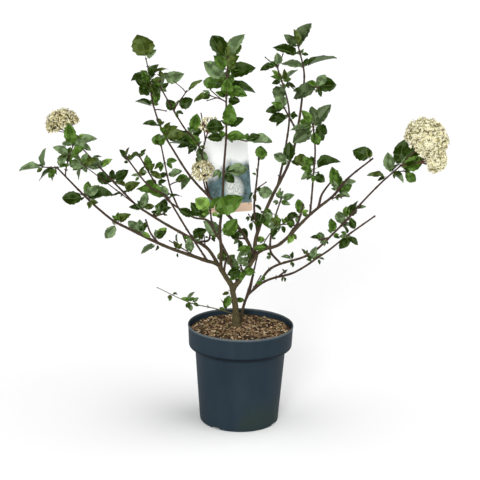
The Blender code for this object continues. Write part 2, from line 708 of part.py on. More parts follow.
def grow_masses(limbs, others, material):
    """Twigs of every mass come first, so that no leaf is put where a twig runs."""
    masses = [Mass(name, plan, limbs) for name, plan in MASSES.items()]
    for mass in masses:
        mass.add_shoots()
        mass.add_heads()
    fixed = others + [tree_of(limb.mesh()) for limb in limbs.values()]
    for mass in masses:
        obstacles = list(fixed)
        for other in masses:
            if other is not mass:
                obstacles += [tree_of(mesh) for mesh in other.meshes]
        mass.add_leaves(obstacles)
    for mass in masses:
        mass.fuse(material)


def main():
    clear_scene()
    materials = make_materials()
    pot = make_pot(materials)
    soil = make_soil(materials)
    limbs = grow_limbs()
    for name, limb in limbs.items():
        obj = add_object(name, *limb.mesh(), materials["bark"])
        obj.data.shade_smooth()
    others = [pot, soil, *make_card_and_tie(limbs["bough_leader"], materials)]
    trees = []
    for obj in others:
        points = [vert.co / METRES for vert in obj.data.vertices]
        trees.append(BVHTree.FromPolygons(points, [tuple(face.vertices) for face in obj.data.polygons]))
    grow_masses(limbs, trees, materials["foliage"])


main()
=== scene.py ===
# Potted viburnum: the looks of the shrub, its pot, compost and plant label.
# Lengths are in millimetres until a mesh is made. -Y is the front and +Z is up.

import math
import random

import bpy
import numpy as np
from mathutils import Matrix, Quaternion, Vector, noise
from mathutils.geometry import interpolate_bezier
from mathutils.kdtree import KDTree


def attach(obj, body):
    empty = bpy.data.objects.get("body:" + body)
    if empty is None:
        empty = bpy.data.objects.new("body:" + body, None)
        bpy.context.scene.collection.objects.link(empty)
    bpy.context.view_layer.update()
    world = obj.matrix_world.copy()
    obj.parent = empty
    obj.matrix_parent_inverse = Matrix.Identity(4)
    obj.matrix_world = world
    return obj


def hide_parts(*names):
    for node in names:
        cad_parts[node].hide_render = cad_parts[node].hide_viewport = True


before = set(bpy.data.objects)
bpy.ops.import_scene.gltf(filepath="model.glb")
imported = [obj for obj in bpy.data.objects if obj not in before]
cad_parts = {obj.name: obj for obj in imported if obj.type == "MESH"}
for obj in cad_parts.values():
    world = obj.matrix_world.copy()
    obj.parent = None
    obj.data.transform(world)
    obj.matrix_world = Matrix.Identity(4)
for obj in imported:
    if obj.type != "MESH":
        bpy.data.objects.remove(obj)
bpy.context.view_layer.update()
mm = 0.001  # one millimetre in metres
print("frame loaded:", len(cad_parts), "nodes")


# Tools that every piece uses

def deselectAll():
    if bpy.context.object and bpy.context.object.mode != "OBJECT":
        bpy.ops.object.mode_set(mode="OBJECT")
    bpy.ops.object.select_all(action="DESELECT")


def makeOnly(obj):
    deselectAll()
    bpy.context.view_layer.objects.active = obj
    obj.select_set(True)


def applyModifiers(obj):
    makeOnly(obj)
    for modifier in list(obj.modifiers):
        bpy.ops.object.modifier_apply(modifier=modifier.name)


def applyPlace(obj):
    makeOnly(obj)
    bpy.ops.object.transform_apply(location=True, rotation=True, scale=True)


def addModifier(obj, kind, **settings):
    modifier = obj.modifiers.new(kind.lower(), kind)
    for name, value in settings.items():
        setattr(modifier, name, value)


def leaveEditing(obj, name):
    bpy.ops.mesh.select_all(action="SELECT")
    bpy.ops.mesh.normals_make_consistent(inside=False)
    bpy.ops.object.mode_set(mode="OBJECT")
    obj.name = name


def smoothShading(obj, degrees=40):
    obj.data.shade_smooth()
    obj.data.set_sharp_from_angle(angle=math.radians(degrees))


def extrudeRings(outline, sides):
    # A filled disc pulled up ring by ring, each ring moved and resized. It is left in edit mode.
    deselectAll()
    radius, height = outline[0]
    bpy.ops.mesh.primitive_circle_add(vertices=sides, radius=radius * mm, fill_type="NGON",
                                      location=(0, 0, height * mm))
    bpy.ops.object.mode_set(mode="EDIT")
    bpy.ops.mesh.select_all(action="SELECT")
    for nextRadius, nextHeight in outline[1:]:
        move = {"value": (0, 0, (nextHeight - height) * mm)}
        bpy.ops.mesh.extrude_region_move(TRANSFORM_OT_translate=move)
        ratio = nextRadius / radius
        bpy.ops.transform.resize(value=(ratio, ratio, 1), center_override=(0, 0, nextHeight * mm))
        radius, height = nextRadius, nextHeight
    return bpy.context.object


def makeMaterial(name, colour, roughness, gloss=0.2):
    material = bpy.data.materials.new(name)
    material.use_nodes = True
    shader = material.node_tree.nodes["Principled BSDF"]
    shader.inputs["Base Color"].default_value = (*colour, 1)
    shader.inputs["Roughness"].default_value = roughness
    shader.inputs["Specular IOR Level"].default_value = gloss
    return material


class Graph:
    # The nodes of a material or of the world
    def __init__(self, owner):
        self.owner = owner
        owner.use_nodes = True
        self.nodes, self.links = owner.node_tree.nodes, owner.node_tree.links

    def feed(self, socket, value):
        # An output is linked, and a constant is set
        if isinstance(value, bpy.types.NodeSocket):
            self.links.new(value, socket)
        else:
            socket.default_value = (*value, 1) if socket.type == "RGBA" else value

    def add(self, kind, inputs=(), **settings):
        node = self.nodes.new("ShaderNode" + kind)
        for name, value in settings.items():
            setattr(node, name, value)
        for socket, value in inputs:
            self.feed(node.inputs[socket], value)
        return node

    def maths(self, operation, *values):
        return self.add("Math", enumerate(values), operation=operation).outputs[0]

    def scaled(self, value, factor, offset=0.0):
        return self.maths("MULTIPLY_ADD", value, factor, offset)

    def noise(self, vector, scale, detail=4.0, roughness=0.55):
        inputs = [("Vector", vector), ("Scale", scale), ("Detail", detail),
                  ("Roughness", roughness)]
        return self.add("TexNoise", inputs).outputs["Fac"]

    def ramp(self, fac, stops, interpolation="LINEAR"):
        node = self.add("ValToRGB", [("Fac", fac)])
        elements = node.color_ramp.elements
        node.color_ramp.interpolation = interpolation
        while len(elements) < len(stops):
            elements.new(0.5)
        for element, (place, grey) in zip(elements, stops):
            element.position = place
            element.color = (grey, grey, grey, 1)
        return node.outputs["Color"]

    def mix(self, fac, first, second):
        # In a colour Mix node, sockets 6 and 7 are the colours and output 2 is the result
        node = self.add("Mix", [(0, fac), (6, first), (7, second)], data_type="RGBA")
        return node.outputs[2]

    def split(self, vector):
        return self.add("SeparateXYZ", [("Vector", vector)]).outputs

    def stretch(self, vector, scale):
        return self.add("Mapping", [("Vector", vector), ("Scale", scale)]).outputs["Vector"]

    def place(self):
        return self.add("TexCoord").outputs["Object"]

    def shade(self, socket, output):
        self.feed(self.nodes["Principled BSDF"].inputs[socket], output)

    def bump(self, height, strength, distance):
        inputs = [("Height", height), ("Strength", strength), ("Distance", distance)]
        self.shade("Normal", self.add("Bump", inputs).outputs["Normal"])


class Heap:
    # Many small shapes that end up as one mesh
    def __init__(self):
        self.points, self.faces, self.slots, self.uvs = [], [], [], []
        self.count = 0

    def add(self, points, faces, slots=0, uvs=None):
        self.points.append(np.asarray(points, float))
        self.faces += [tuple(self.count + index for index in face) for face in faces]
        self.slots += [slots] * len(faces) if isinstance(slots, int) else list(slots)
        if uvs is not None:
            self.uvs.append(np.asarray(uvs, float))
        self.count += len(points)

    def build(self, name, materials):
        mesh = bpy.data.meshes.new(name)
        mesh.from_pydata((np.concatenate(self.points) * mm).tolist(), [], self.faces)
        for material in materials:
            mesh.materials.append(material)
        mesh.polygons.foreach_set("material_index", self.slots)
        if self.uvs:
            layer = mesh.uv_layers.new(name="UVMap")
            corners = np.zeros(len(mesh.loops), int)
            mesh.loops.foreach_get("vertex_index", corners)
            layer.data.foreach_set("uv", np.concatenate(self.uvs)[corners].ravel())
        obj = bpy.data.objects.new(name, mesh)
        bpy.context.scene.collection.objects.link(obj)
        smoothShading(obj)
        print(name, "has", len(mesh.polygons), "faces")
        return obj


# Camera, lights and floor

viewPlan = dict(place=(-0.0048, -2.6, 1.0453), pitch=14.18, roll=1.117, lens=98.07, sensor=36,
                farthest=200)
lightPlan = dict(
    sky=[(0.20, 1.0), (0.28, 0.11)],  # brightness by height above the horizon
    suns=dict(rightTop=((4, 28, 0), 1.8, 62),  # degrees it is turned, strength, degrees across
              leftTop=((4, -30, 0), 1.0, 62),
              front=((68, -28, 0), 2.1, 22)),
    floorColour=(0.92, 0.92, 0.92), floorRough=0.9, floorSize=80)


def makeCamera():
    p = viewPlan
    pitch, roll = math.radians(p["pitch"]), math.radians(p["roll"])
    forward = Vector((0, math.cos(pitch), -math.sin(pitch)))
    level, rise = Vector((1, 0, 0)), Vector((0, math.sin(pitch), math.cos(pitch)))
    right = level * math.cos(roll) + rise * math.sin(roll)
    up = rise * math.cos(roll) - level * math.sin(roll)
    bpy.ops.object.camera_add()
    camera = bpy.context.object
    turn = Matrix((right, up, -forward)).transposed().to_4x4()
    camera.matrix_world = Matrix.Translation(p["place"]) @ turn
    camera.data.sensor_fit = "HORIZONTAL"
    camera.data.sensor_width = p["sensor"]
    camera.data.lens = p["lens"]
    camera.data.clip_end = p["farthest"]
    bpy.context.scene.camera = camera


def makeLights():
    sky = Graph(bpy.data.worlds.new("softSky"))
    height = sky.split(sky.add("TexCoord").outputs["Generated"])["Z"]
    brightness = sky.ramp(height, lightPlan["sky"])
    sky.feed(sky.nodes["Background"].inputs["Color"], brightness)
    bpy.context.scene.world = sky.owner
    bpy.context.scene.view_settings.view_transform = "Standard"
    for name, (turn, strength, across) in lightPlan["suns"].items():
        bpy.ops.object.light_add(type="SUN", rotation=[math.radians(angle) for angle in turn])
        bpy.context.object.name = name
        sun = bpy.context.object.data
        sun.energy = strength
        sun.angle = math.radians(across)


def makeFloor():
    p = lightPlan
    deselectAll()
    bpy.ops.mesh.primitive_plane_add(size=p["floorSize"])
    floor = bpy.context.object
    floor.name = "floor"
    floor.data.materials.append(makeMaterial("paleFloor", p["floorColour"], p["floorRough"]))


makeCamera()
makeLights()
makeFloor()
print("camera, lights and floor made")


# Pot

potPlan = dict(
    rim=110.0, height=209.0, base=82.6, body=94.6, wall=1.7, bottom=2.5, collar=48.0, taper=2.4,
    sides=120, notchWide=22.0, notchHigh=4.0, notchTurns=(-36, 64, 144, 244), edge=0.25,
    # the last colour on the next line is painted shade, for the band under the collar's overhang
    colour=(0.013, 0.024, 0.035), dust=(0.031, 0.047, 0.059), paintedCollarShade=(0.003, 0.005, 0.008),
    worn=(0.30, 0.33, 0.32), moss=(0.022, 0.034, 0.026), wornBelow=5, wornOver=6,
    paintedCollarShadeHeights=(152.0, 160.8, 164.8, 169.6), mossHeights=(30, 90), smooth=0.48, rough=0.64)


def potOutline():
    # (radius, height) from the edge of the underside, up outside, over the lip and down inside
    p = potPlan
    shoulder, lower, inner = p["height"] - p["collar"], p["rim"] - p["taper"], p["rim"] - p["wall"]
    outside = [(p["base"] - 3.5, 0), (p["base"] - 1.6, 0.4), (p["base"] - 0.5, 1.6),
               (p["base"], 3.5), (p["base"] + 6, shoulder / 2), (p["body"], shoulder)]
    under = [(lower - 5.5, shoulder + 0.2), (lower - 3.2, shoulder + 0.6),
             (lower - 1.6, shoulder + 1.7), (lower - 0.5, shoulder + 3.4), (lower, shoulder + 6)]
    lip = [(p["rim"] - 0.9, p["height"] - 9), (p["rim"] - 0.5, p["height"] - 6),
           (p["rim"], p["height"] - 4.2), (p["rim"], p["height"] - 1.4),
           (p["rim"] - 0.5, p["height"] - 0.4), (p["rim"] - 1.4, p["height"]),
           (inner + 0.1, p["height"]), (inner - 0.3, p["height"] - 0.6),
           (inner - 0.5, p["height"] - 2)]
    share = p["bottom"] / shoulder
    inside = [(inner - p["taper"], shoulder + 4), (p["body"] - p["wall"], shoulder + 1),
              (p["base"] + (p["body"] - p["base"]) * share - p["wall"], p["bottom"])]
    return outside + under + lip + inside


def potMaterial():
    # Dusty streaks, a worn lip, painted shade in a dark band under the collar and moss low on the
    # wall
    p = potPlan
    graph = Graph(makeMaterial("mouldedPot", p["colour"], p["smooth"], 0.06))
    place = graph.place()
    height = graph.split(place)["Z"]
    cloud = graph.noise(place, 9, 5)
    streak = graph.noise(graph.stretch(place, (38, 38, 4)), 1, 5)
    speck = graph.noise(place, 420, 2)
    clean = graph.ramp(graph.scaled(cloud, 0.6, graph.scaled(streak, 0.5)),
                       [(0.38, 0.0), (0.75, 1.0)])
    rise = graph.scaled(height, 1 / (p["wornOver"] * mm),
                        (p["wornBelow"] - p["height"]) / p["wornOver"])
    lip = graph.maths("SMOOTH_MIN", graph.maths("MAXIMUM", rise, 0), 1, 0.1)
    colour = graph.mix(graph.scaled(clean, 0.45), p["colour"], p["dust"])
    colour = graph.mix(graph.maths("MULTIPLY", lip, graph.scaled(speck, 0.9)), colour, p["worn"])
    low, high = [level / 100 for level in p["mossHeights"]]
    fading = graph.ramp(graph.scaled(height, 10), [(low, 0.8), (high, 0.0)])
    mossy = graph.maths("MULTIPLY", graph.ramp(cloud, [(0.50, 0.0), (0.66, 1.0)]), fading)
    colour = graph.mix(mossy, colour, p["moss"])
    first, span = 140, 40  # the heights that the ramp of painted shade under the collar covers
    # Painted shade: the wall darkens in a band just under the collar's overhang, where its shadow
    # falls
    stops = [((level - first) / span, dark)
             for level, dark in zip(p["paintedCollarShadeHeights"], (0.0, 0.85, 0.85, 0.0))]
    paintedCollarShade = graph.ramp(graph.scaled(height, 1 / (span * mm), -first / span), stops)
    graph.shade("Base Color", graph.mix(paintedCollarShade, colour, p["paintedCollarShade"]))
    graph.shade("Roughness", graph.scaled(clean, p["rough"] - p["smooth"], p["smooth"]))
    graph.bump(graph.maths("ADD", speck, graph.scaled(streak, 0.6)), 0.12, 0.0006)
    return graph.owner


def makePot():
    p = potPlan
    pot = extrudeRings(potOutline(), p["sides"])
    leaveEditing(pot, "moulded_pot")
    for turn in p["notchTurns"]:
        deselectAll()
        bpy.ops.mesh.primitive_cube_add(size=mm)
        cutter = bpy.context.object
        angle = Matrix.Rotation(math.radians(turn), 4, "Z")
        cutter.matrix_world = (angle @ Matrix.Translation((0, -p["base"] * mm, 0))
                               @ Matrix.Diagonal((p["notchWide"], 16, 2 * p["notchHigh"], 1)))
        applyPlace(cutter)
        addModifier(pot, "BOOLEAN", object=cutter, operation="DIFFERENCE")
        applyModifiers(pot)
        bpy.data.objects.remove(cutter)
    addModifier(pot, "BEVEL", width=p["edge"] * mm, segments=2, limit_method="ANGLE",
                angle_limit=math.radians(50))
    applyModifiers(pot)
    pot.data.materials.clear()
    pot.data.materials.append(potMaterial())
    smoothShading(pot, 35)
    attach(pot, "root")
    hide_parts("pot")


makePot()
print("pot made")


# Compost: a lumpy bed with loose chips of bark and coir on it

soilPlan = dict(
    top=197.0, rings=16, sides=72, gap=0.3, lumps=2.2, sag=1.2, seed=11,
    chips=1500, chipLong=(3.5, 11.0), chipWide=(1.3, 4.2), chipThick=(0.5, 1.8),
    chipLift=(0.4, 1.6), chipTaper=(0.55, 1.0), chipTip=0.35, chipRoll=0.5,
    bed=(0.050, 0.030, 0.016),
    tints=((0.085, 0.048, 0.024), (0.20, 0.115, 0.055), (0.36, 0.24, 0.13), (0.56, 0.43, 0.27),
           (0.27, 0.24, 0.10), (0.035, 0.022, 0.016)),
    shares=(0.22, 0.26, 0.22, 0.14, 0.06, 0.10))


def soilHeight(x, y):
    p = soilPlan
    lump = noise.noise(Vector((x, y, 0)) / 13) + 0.5 * noise.noise(Vector((x, y, 9)) / 5)
    return p["top"] - p["sag"] * (math.hypot(x, y) / 105) ** 4 + p["lumps"] * lump


def soilMaterial(name, colour):
    graph = Graph(makeMaterial(name, colour, 0.92))
    graph.bump(graph.noise(graph.place(), 700, 4), 0.5, 0.0008)
    return graph.owner


def makeBed(edge):
    p, pot = soilPlan, potPlan
    shoulder = pot["height"] - pot["collar"]
    outline = [(pot["base"] - 3.4, pot["bottom"] + p["gap"]),
               (pot["body"] - pot["wall"] - 2 * p["gap"], shoulder + 1),
               (edge - 1.5, shoulder + 6), (edge, p["top"] - 1.5)]
    bed = extrudeRings(outline, p["sides"])
    for ring in range(p["rings"]):
        bpy.ops.mesh.inset(thickness=edge / (p["rings"] + 0.5) * mm)
    leaveEditing(bed, "compost_bed")
    for vert in bed.data.vertices:
        if vert.co.z > (p["top"] - 2) * mm:
            vert.co.z = soilHeight(vert.co.x / mm, vert.co.y / mm) * mm
    bed.data.materials.append(soilMaterial("compostBed", p["bed"]))
    smoothShading(bed, 60)
    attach(bed, "root")
    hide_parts("soil")


def makeChips(edge):
    # Thin blocks with uneven corners, strewn at random
    p = soilPlan
    chips = Heap()
    draw = random.Random(p["seed"])
    corners = [(x, y, z) for z in (-1, 1) for x, y in ((-1, -1), (1, -1), (1, 1), (-1, 1))]
    box = [(3, 2, 1, 0), (4, 5, 6, 7), (0, 1, 5, 4), (1, 2, 6, 5), (2, 3, 7, 6), (3, 0, 4, 7)]
    for chip in range(p["chips"]):
        reach, angle = (edge - 5) * math.sqrt(draw.random()), draw.uniform(0, math.tau)
        x, y = reach * math.cos(angle), reach * math.sin(angle)
        size = [draw.uniform(*p[side]) / 2 for side in ("chipLong", "chipWide", "chipThick")]
        turn = (Quaternion((0, 0, 1), draw.uniform(0, math.tau))
                @ Quaternion((0, 1, 0), draw.gauss(0, p["chipTip"]))
                @ Quaternion((1, 0, 0), draw.gauss(0, p["chipRoll"])))
        middle = Vector((x, y, soilHeight(x, y) + draw.uniform(*p["chipLift"])))
        points = []
        for across, along, up in corners:
            taper = draw.uniform(*p["chipTaper"])
            corner = Vector((across * size[0] * taper, along * size[1] * taper, up * size[2]))
            points.append(middle + turn @ corner)
        chips.add(points, box, draw.choices(range(len(p["tints"])), p["shares"])[0])
    materials = [soilMaterial(f"chip{index}", tint) for index, tint in enumerate(p["tints"])]
    loose = chips.build("compost_chips", materials)
    smoothShading(loose, 20)
    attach(loose, "root")


soilEdge = potPlan["rim"] - potPlan["wall"] - potPlan["taper"] - soilPlan["gap"]
makeBed(soilEdge)
makeChips(soilEdge)
print("compost made")


# Stems: the same growth rule as the solids follow, with finer steps
# Each limb: what carries it, the share of the way along that where it starts,
# the places it passes through to its tip, and its radius at both ends.

limbPlans = {
    "trunk": (None, 0, [(-9, 19, 197), (-12, 17, 242), (-20, 14, 284)], (7.4, 5.6)),
    "stem_back": (None, 0, [(-2, 42, 197), (12, 44, 254), (33, 42, 277)], (3.6, 2.6)),
    "bough_left": ("trunk", 1, [(-32, 10, 305), (-45, 6, 328)], (4.9, 4.2)),
    "bough_right": ("trunk", 0.93, [(-1, 10, 305), (29, 4, 356)], (4.9, 3.8)),
    "bough_left_low": (
        "bough_left", 1, [(-76, -12, 347), (-155, -60, 388), (-242, -115, 445)], (3.3, 2.0)),
    "bough_left_back": (
        "bough_left", 0.84, [(-71, 24, 362), (-99, 42, 375), (-166, 80, 402), (-214, 108, 424)],
        (3.1, 1.9)),
    "bough_left_front": ("bough_left_low", 0.13, [(-109, -62, 420), (-147, -105, 497)], (1.7, 1.3)),
    "bough_centre": (
        "bough_left", 0.93, [(-43, -12, 372), (-46, -24, 415), (-42, -34, 469), (-40, -40, 538)],
        (2.9, 1.8)),
    "bough_cross": ("bough_right", 0.12, [(-31, -30, 366), (-67, -62, 440)], (2.0, 1.6)),
    "bough_inner_left": ("bough_cross", 1, [(-99, -62, 449), (-140, -55, 473)], (1.6, 1.3)),
    "bough_leader": (
        "bough_right", 0.66, [(19, 26, 361), (-3, 50, 395), (-39, 70, 433), (-80, 82, 469)],
        (3.2, 2.5)),
    "bough_top_left": ("bough_leader", 1, [(-117, 100, 506), (-152, 125, 554)], (2.1, 1.6)),
    "bough_top_inner": (
        "bough_leader", 0.93, [(-79, 56, 505), (-84, 45, 545), (-92, 40, 573)], (1.5, 1.3)),
    "bough_right_low": (
        "bough_right", 1, [(76, -30, 389), (133, -75, 462), (170, -100, 501)], (3.1, 2.0)),
    "bough_right_tall": (
        "bough_right", 0.93, [(28, 24, 387), (52, 52, 451), (84, 78, 512)], (3.4, 2.6)),
    "bough_right_top": ("bough_right_tall", 1, [(104, 90, 566), (113, 96, 622)], (2.4, 2.0)),
    "bough_right_up": ("bough_right_low", 0.74, [(133, -110, 503), (134, -135, 560)], (1.6, 1.2)),
    "bough_low_right": ("stem_back", 1, [(109, -20, 328), (164, -90, 388)], (2.0, 1.4)),
    "bough_far_right": (
        "stem_back", 0.9, [(63, 46, 318), (142, 34, 353), (203, 22, 417)], (2.2, 1.6)),
}

growth = dict(
    gap=0.3, step=5.0, seed=5, sunk=0.8, stout=0.7, flare=5.0, flareReach=9.0, limbSides=12,
    nodeFirst=(8, 20), nodeEvery=(28, 44), nodeSwell=0.16, nodeLong=2.6, twigSides=6, twigFoot=2.6,
    twigTip=1.6, twigSwell=0.22, twigNodeLong=1.8, shootFoot=1.45, shootTaper=0.8, bareFrom=12,
    bareEvery=(34, 52), bareClear=8, budChance=0.25, budRange=(0.04, 0.98), buddingUnder=3.9,
    budLong=(3, 6), budThick=(0.8, 1.3))
barkPlan = dict(
    voxel=0.96, relief=0.28, reliefFull=6, soften=0.4, old=(0.105, 0.084, 0.034),
    oldDark=(0.036, 0.028, 0.012), young=(0.070, 0.036, 0.024), youngDark=(0.022, 0.013, 0.010),
    moss=(0.085, 0.095, 0.032), lenticel=(0.26, 0.19, 0.12))


def smoothLine(places, heading=None, step=None):
    # Points about a step apart on one smooth curve through the places, leaving along heading
    places = [Vector(place) for place in places]
    last = len(places) - 1
    tangents = []
    for index in range(last + 1):
        before, after = places[max(index - 1, 0)], places[min(index + 1, last)]
        tangents.append((after - before).normalized())
    if heading:
        tangents[0] = heading.normalized()
    line = [places[0]]
    for index in range(last):
        start, end = places[index], places[index + 1]
        reach = (end - start).length / 3
        count = max(2, round(3 * reach / (step or growth["step"])))
        handles = start + tangents[index] * reach, end - tangents[index + 1] * reach
        line += interpolate_bezier(start, *handles, end, count + 1)[1:]
    return line


class Limb:
    # A tapering stem along a line of points
    def __init__(self, line, radii, lead=None):
        self.line = [Vector(point) for point in line]
        self.lead = lead  # a point inside what carries it, so that the two grow together
        self.lengths = [0.0]
        for before, after in zip(self.line, self.line[1:]):
            self.lengths.append(self.lengths[-1] + (after - before).length)
        foot, tip = radii
        self.radii = [foot + (tip - foot) * reach / self.lengths[-1] for reach in self.lengths]

    def at(self, share):
        # The place, direction and radius at a share of the length
        reach = share * self.lengths[-1]
        index = 1
        while index < len(self.line) - 1 and self.lengths[index] < reach:
            index += 1
        start, end = self.line[index - 1], self.line[index]
        part = (reach - self.lengths[index - 1]) / (self.lengths[index] - self.lengths[index - 1])
        radius = self.radii[index - 1] + (self.radii[index] - self.radii[index - 1]) * part
        return start.lerp(end, part), (end - start).normalized(), radius

    def swell(self, places, amount, reach):
        for index, length in enumerate(self.lengths):
            bulge = sum(math.exp(-((length - place) / reach) ** 2) for place in places)
            self.radii[index] *= 1 + amount * min(bulge, 1)


def growFrom(parent, share, places, radii):
    # A stem from the tip or the side of its parent
    point, axis, radius = parent.at(share)
    if share == 1:
        start, heading = point + axis * growth["gap"], axis
    else:
        heading = (Vector(places[0]) - point).normalized()
        normal = (heading - axis * heading.dot(axis)).normalized()
        start = point + heading * (radius + growth["gap"]) / heading.dot(normal)
    lead = point - axis * radius * growth["sunk"]
    return Limb(smoothLine([start, *places], heading), radii, lead)


def tubeOf(limb, sides):
    # Rings of a closed tube, with the stem's own coordinates for its bark and its radius
    line, radii, lengths = list(limb.line), list(limb.radii), list(limb.lengths)
    if limb.lead:
        line.insert(0, limb.lead)
        radii.insert(0, radii[0] * 0.97)
        lengths.insert(0, -(line[1] - line[0]).length)
    points, grain, girth = [], [], []
    across = None
    for index, centre in enumerate(line):
        before, after = line[max(index - 1, 0)], line[min(index + 1, len(line) - 1)]
        direction = (after - before).normalized()
        across = across or direction.orthogonal()
        across = (across - direction * across.dot(direction)).normalized()
        other = direction.cross(across)
        for side in range(sides):
            x, y = [part(math.tau * side / sides) * radii[index] for part in (math.cos, math.sin)]
            points.append(centre + across * x + other * y)
            grain.append((x, y, lengths[index]))
            girth.append(radii[index])
    faces = [tuple(reversed(range(sides)))]
    for ring in range(0, len(points) - sides, sides):
        for side in range(sides):
            after = (side + 1) % sides
            faces.append((ring + side, ring + after, ring + sides + after, ring + sides + side))
    faces.append(tuple(range(len(points) - sides, len(points))))
    return points, faces, grain, girth


def growLimbs():
    limbs = {}
    draw = random.Random(growth["seed"])
    for name, (parent, share, places, radii) in limbPlans.items():
        if parent:
            stouter = [radius + growth["stout"] for radius in radii]
            limb = growFrom(limbs[parent], share, places, stouter)
        else:
            limb = Limb(smoothLine(places), radii)
            widest = radii[0] / limbPlans["trunk"][3][0] * growth["flare"]
            for index, reach in enumerate(limb.lengths):
                limb.radii[index] += widest * math.exp(-reach / growth["flareReach"])
        limbs[name] = limb
    for limb in limbs.values():  # the nodes swell once all feet are set
        limb.nodes, place = [], draw.uniform(*growth["nodeFirst"])
        while place < limb.lengths[-1]:
            limb.nodes.append(place)
            place += draw.uniform(*growth["nodeEvery"])
        limb.swell(limb.nodes, growth["nodeSwell"], growth["nodeLong"])
    return limbs


def barkMaterial():
    # Fissured grey bark on thick stems, smooth brown bark on thin ones, with moss and lenticels
    p = barkPlan
    graph = Graph(makeMaterial("bark", p["old"], 0.75))
    grain = graph.add("Attribute", attribute_name="grain").outputs["Vector"]
    girth = graph.add("Attribute", attribute_name="girth").outputs["Fac"]
    rings = graph.stretch(grain, (0.25, 0.25, 1.1))
    fissure = graph.noise(graph.stretch(grain, (0.9, 0.9, 0.12)), 1.0, 6, 0.65)
    patch = graph.ramp(graph.noise(rings, 0.22, 3), [(0.50, 0.0), (0.72, 0.55)])
    lenticel = graph.ramp(graph.noise(rings, 1.0, 2), [(0.66, 0.0), (0.72, 0.5)])
    old = graph.mix(graph.ramp(fissure, [(0.36, 0.0), (0.62, 1.0)]), p["oldDark"], p["old"])
    old = graph.mix(patch, old, p["moss"])
    young = graph.mix(graph.ramp(fissure, [(0.35, 0.0), (0.7, 1.0)]), p["youngDark"], p["young"])
    age = graph.ramp(graph.scaled(girth, 0.22, -0.35), [(0.0, 0.0), (1.0, 1.0)])
    graph.shade("Base Color", graph.mix(lenticel, graph.mix(age, young, old), p["lenticel"]))
    graph.bump(fissure, 0.6, 0.0008)
    return graph.owner


def makeBark(limbs):
    # All stems as one voxel skin, so that forks and collars flow together, then the bark's relief
    p = barkPlan
    heap, grain, girth = Heap(), [], []
    for limb in limbs.values():
        points, faces, along, radii = tubeOf(limb, growth["limbSides"])
        heap.add(points, faces)
        grain += along
        girth += radii
    bark = heap.build("bark", [])
    points, grain = np.concatenate(heap.points) * mm, np.array(grain)
    tree = KDTree(len(points))
    for index, point in enumerate(points):
        tree.insert(point, index)
    tree.balance()
    addModifier(bark, "REMESH", mode="VOXEL", voxel_size=p["voxel"] * mm)
    addModifier(bark, "SMOOTH", iterations=4, factor=p["soften"])
    applyModifiers(bark)
    mesh = bark.data
    nearest = [tree.find_n(vert.co, 3) for vert in mesh.vertices]
    own = np.array([np.average([grain[index] for _, index, _ in found], axis=0,
                               weights=[1 / (gap + 1e-5) for _, _, gap in found])
                    for found in nearest])
    thick = np.array([girth[found[0][1]] for found in nearest])
    outward = [vert.normal.copy() for vert in mesh.vertices]
    for vert, normal, (x, y, along), radius in zip(mesh.vertices, outward, own, thick):
        fissure = noise.noise(Vector((x * 0.7, y * 0.7, along * 0.09)))
        fissure += 0.5 * noise.noise(Vector((x * 1.6, y * 1.6, along * 0.22)))
        vert.co += normal * fissure * p["relief"] * min(radius / p["reliefFull"], 1) * mm
    mesh.attributes.new("grain", "FLOAT_VECTOR", "POINT").data.foreach_set("vector", own.ravel())
    mesh.attributes.new("girth", "FLOAT", "POINT").data.foreach_set("value", thick)
    mesh.materials.append(barkMaterial())
    smoothShading(bark, 70)
    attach(bark, "root")
    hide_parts(*limbPlans)
    print("bark skin has", len(mesh.polygons), "faces")


limbs = growLimbs()
makeBark(limbs)
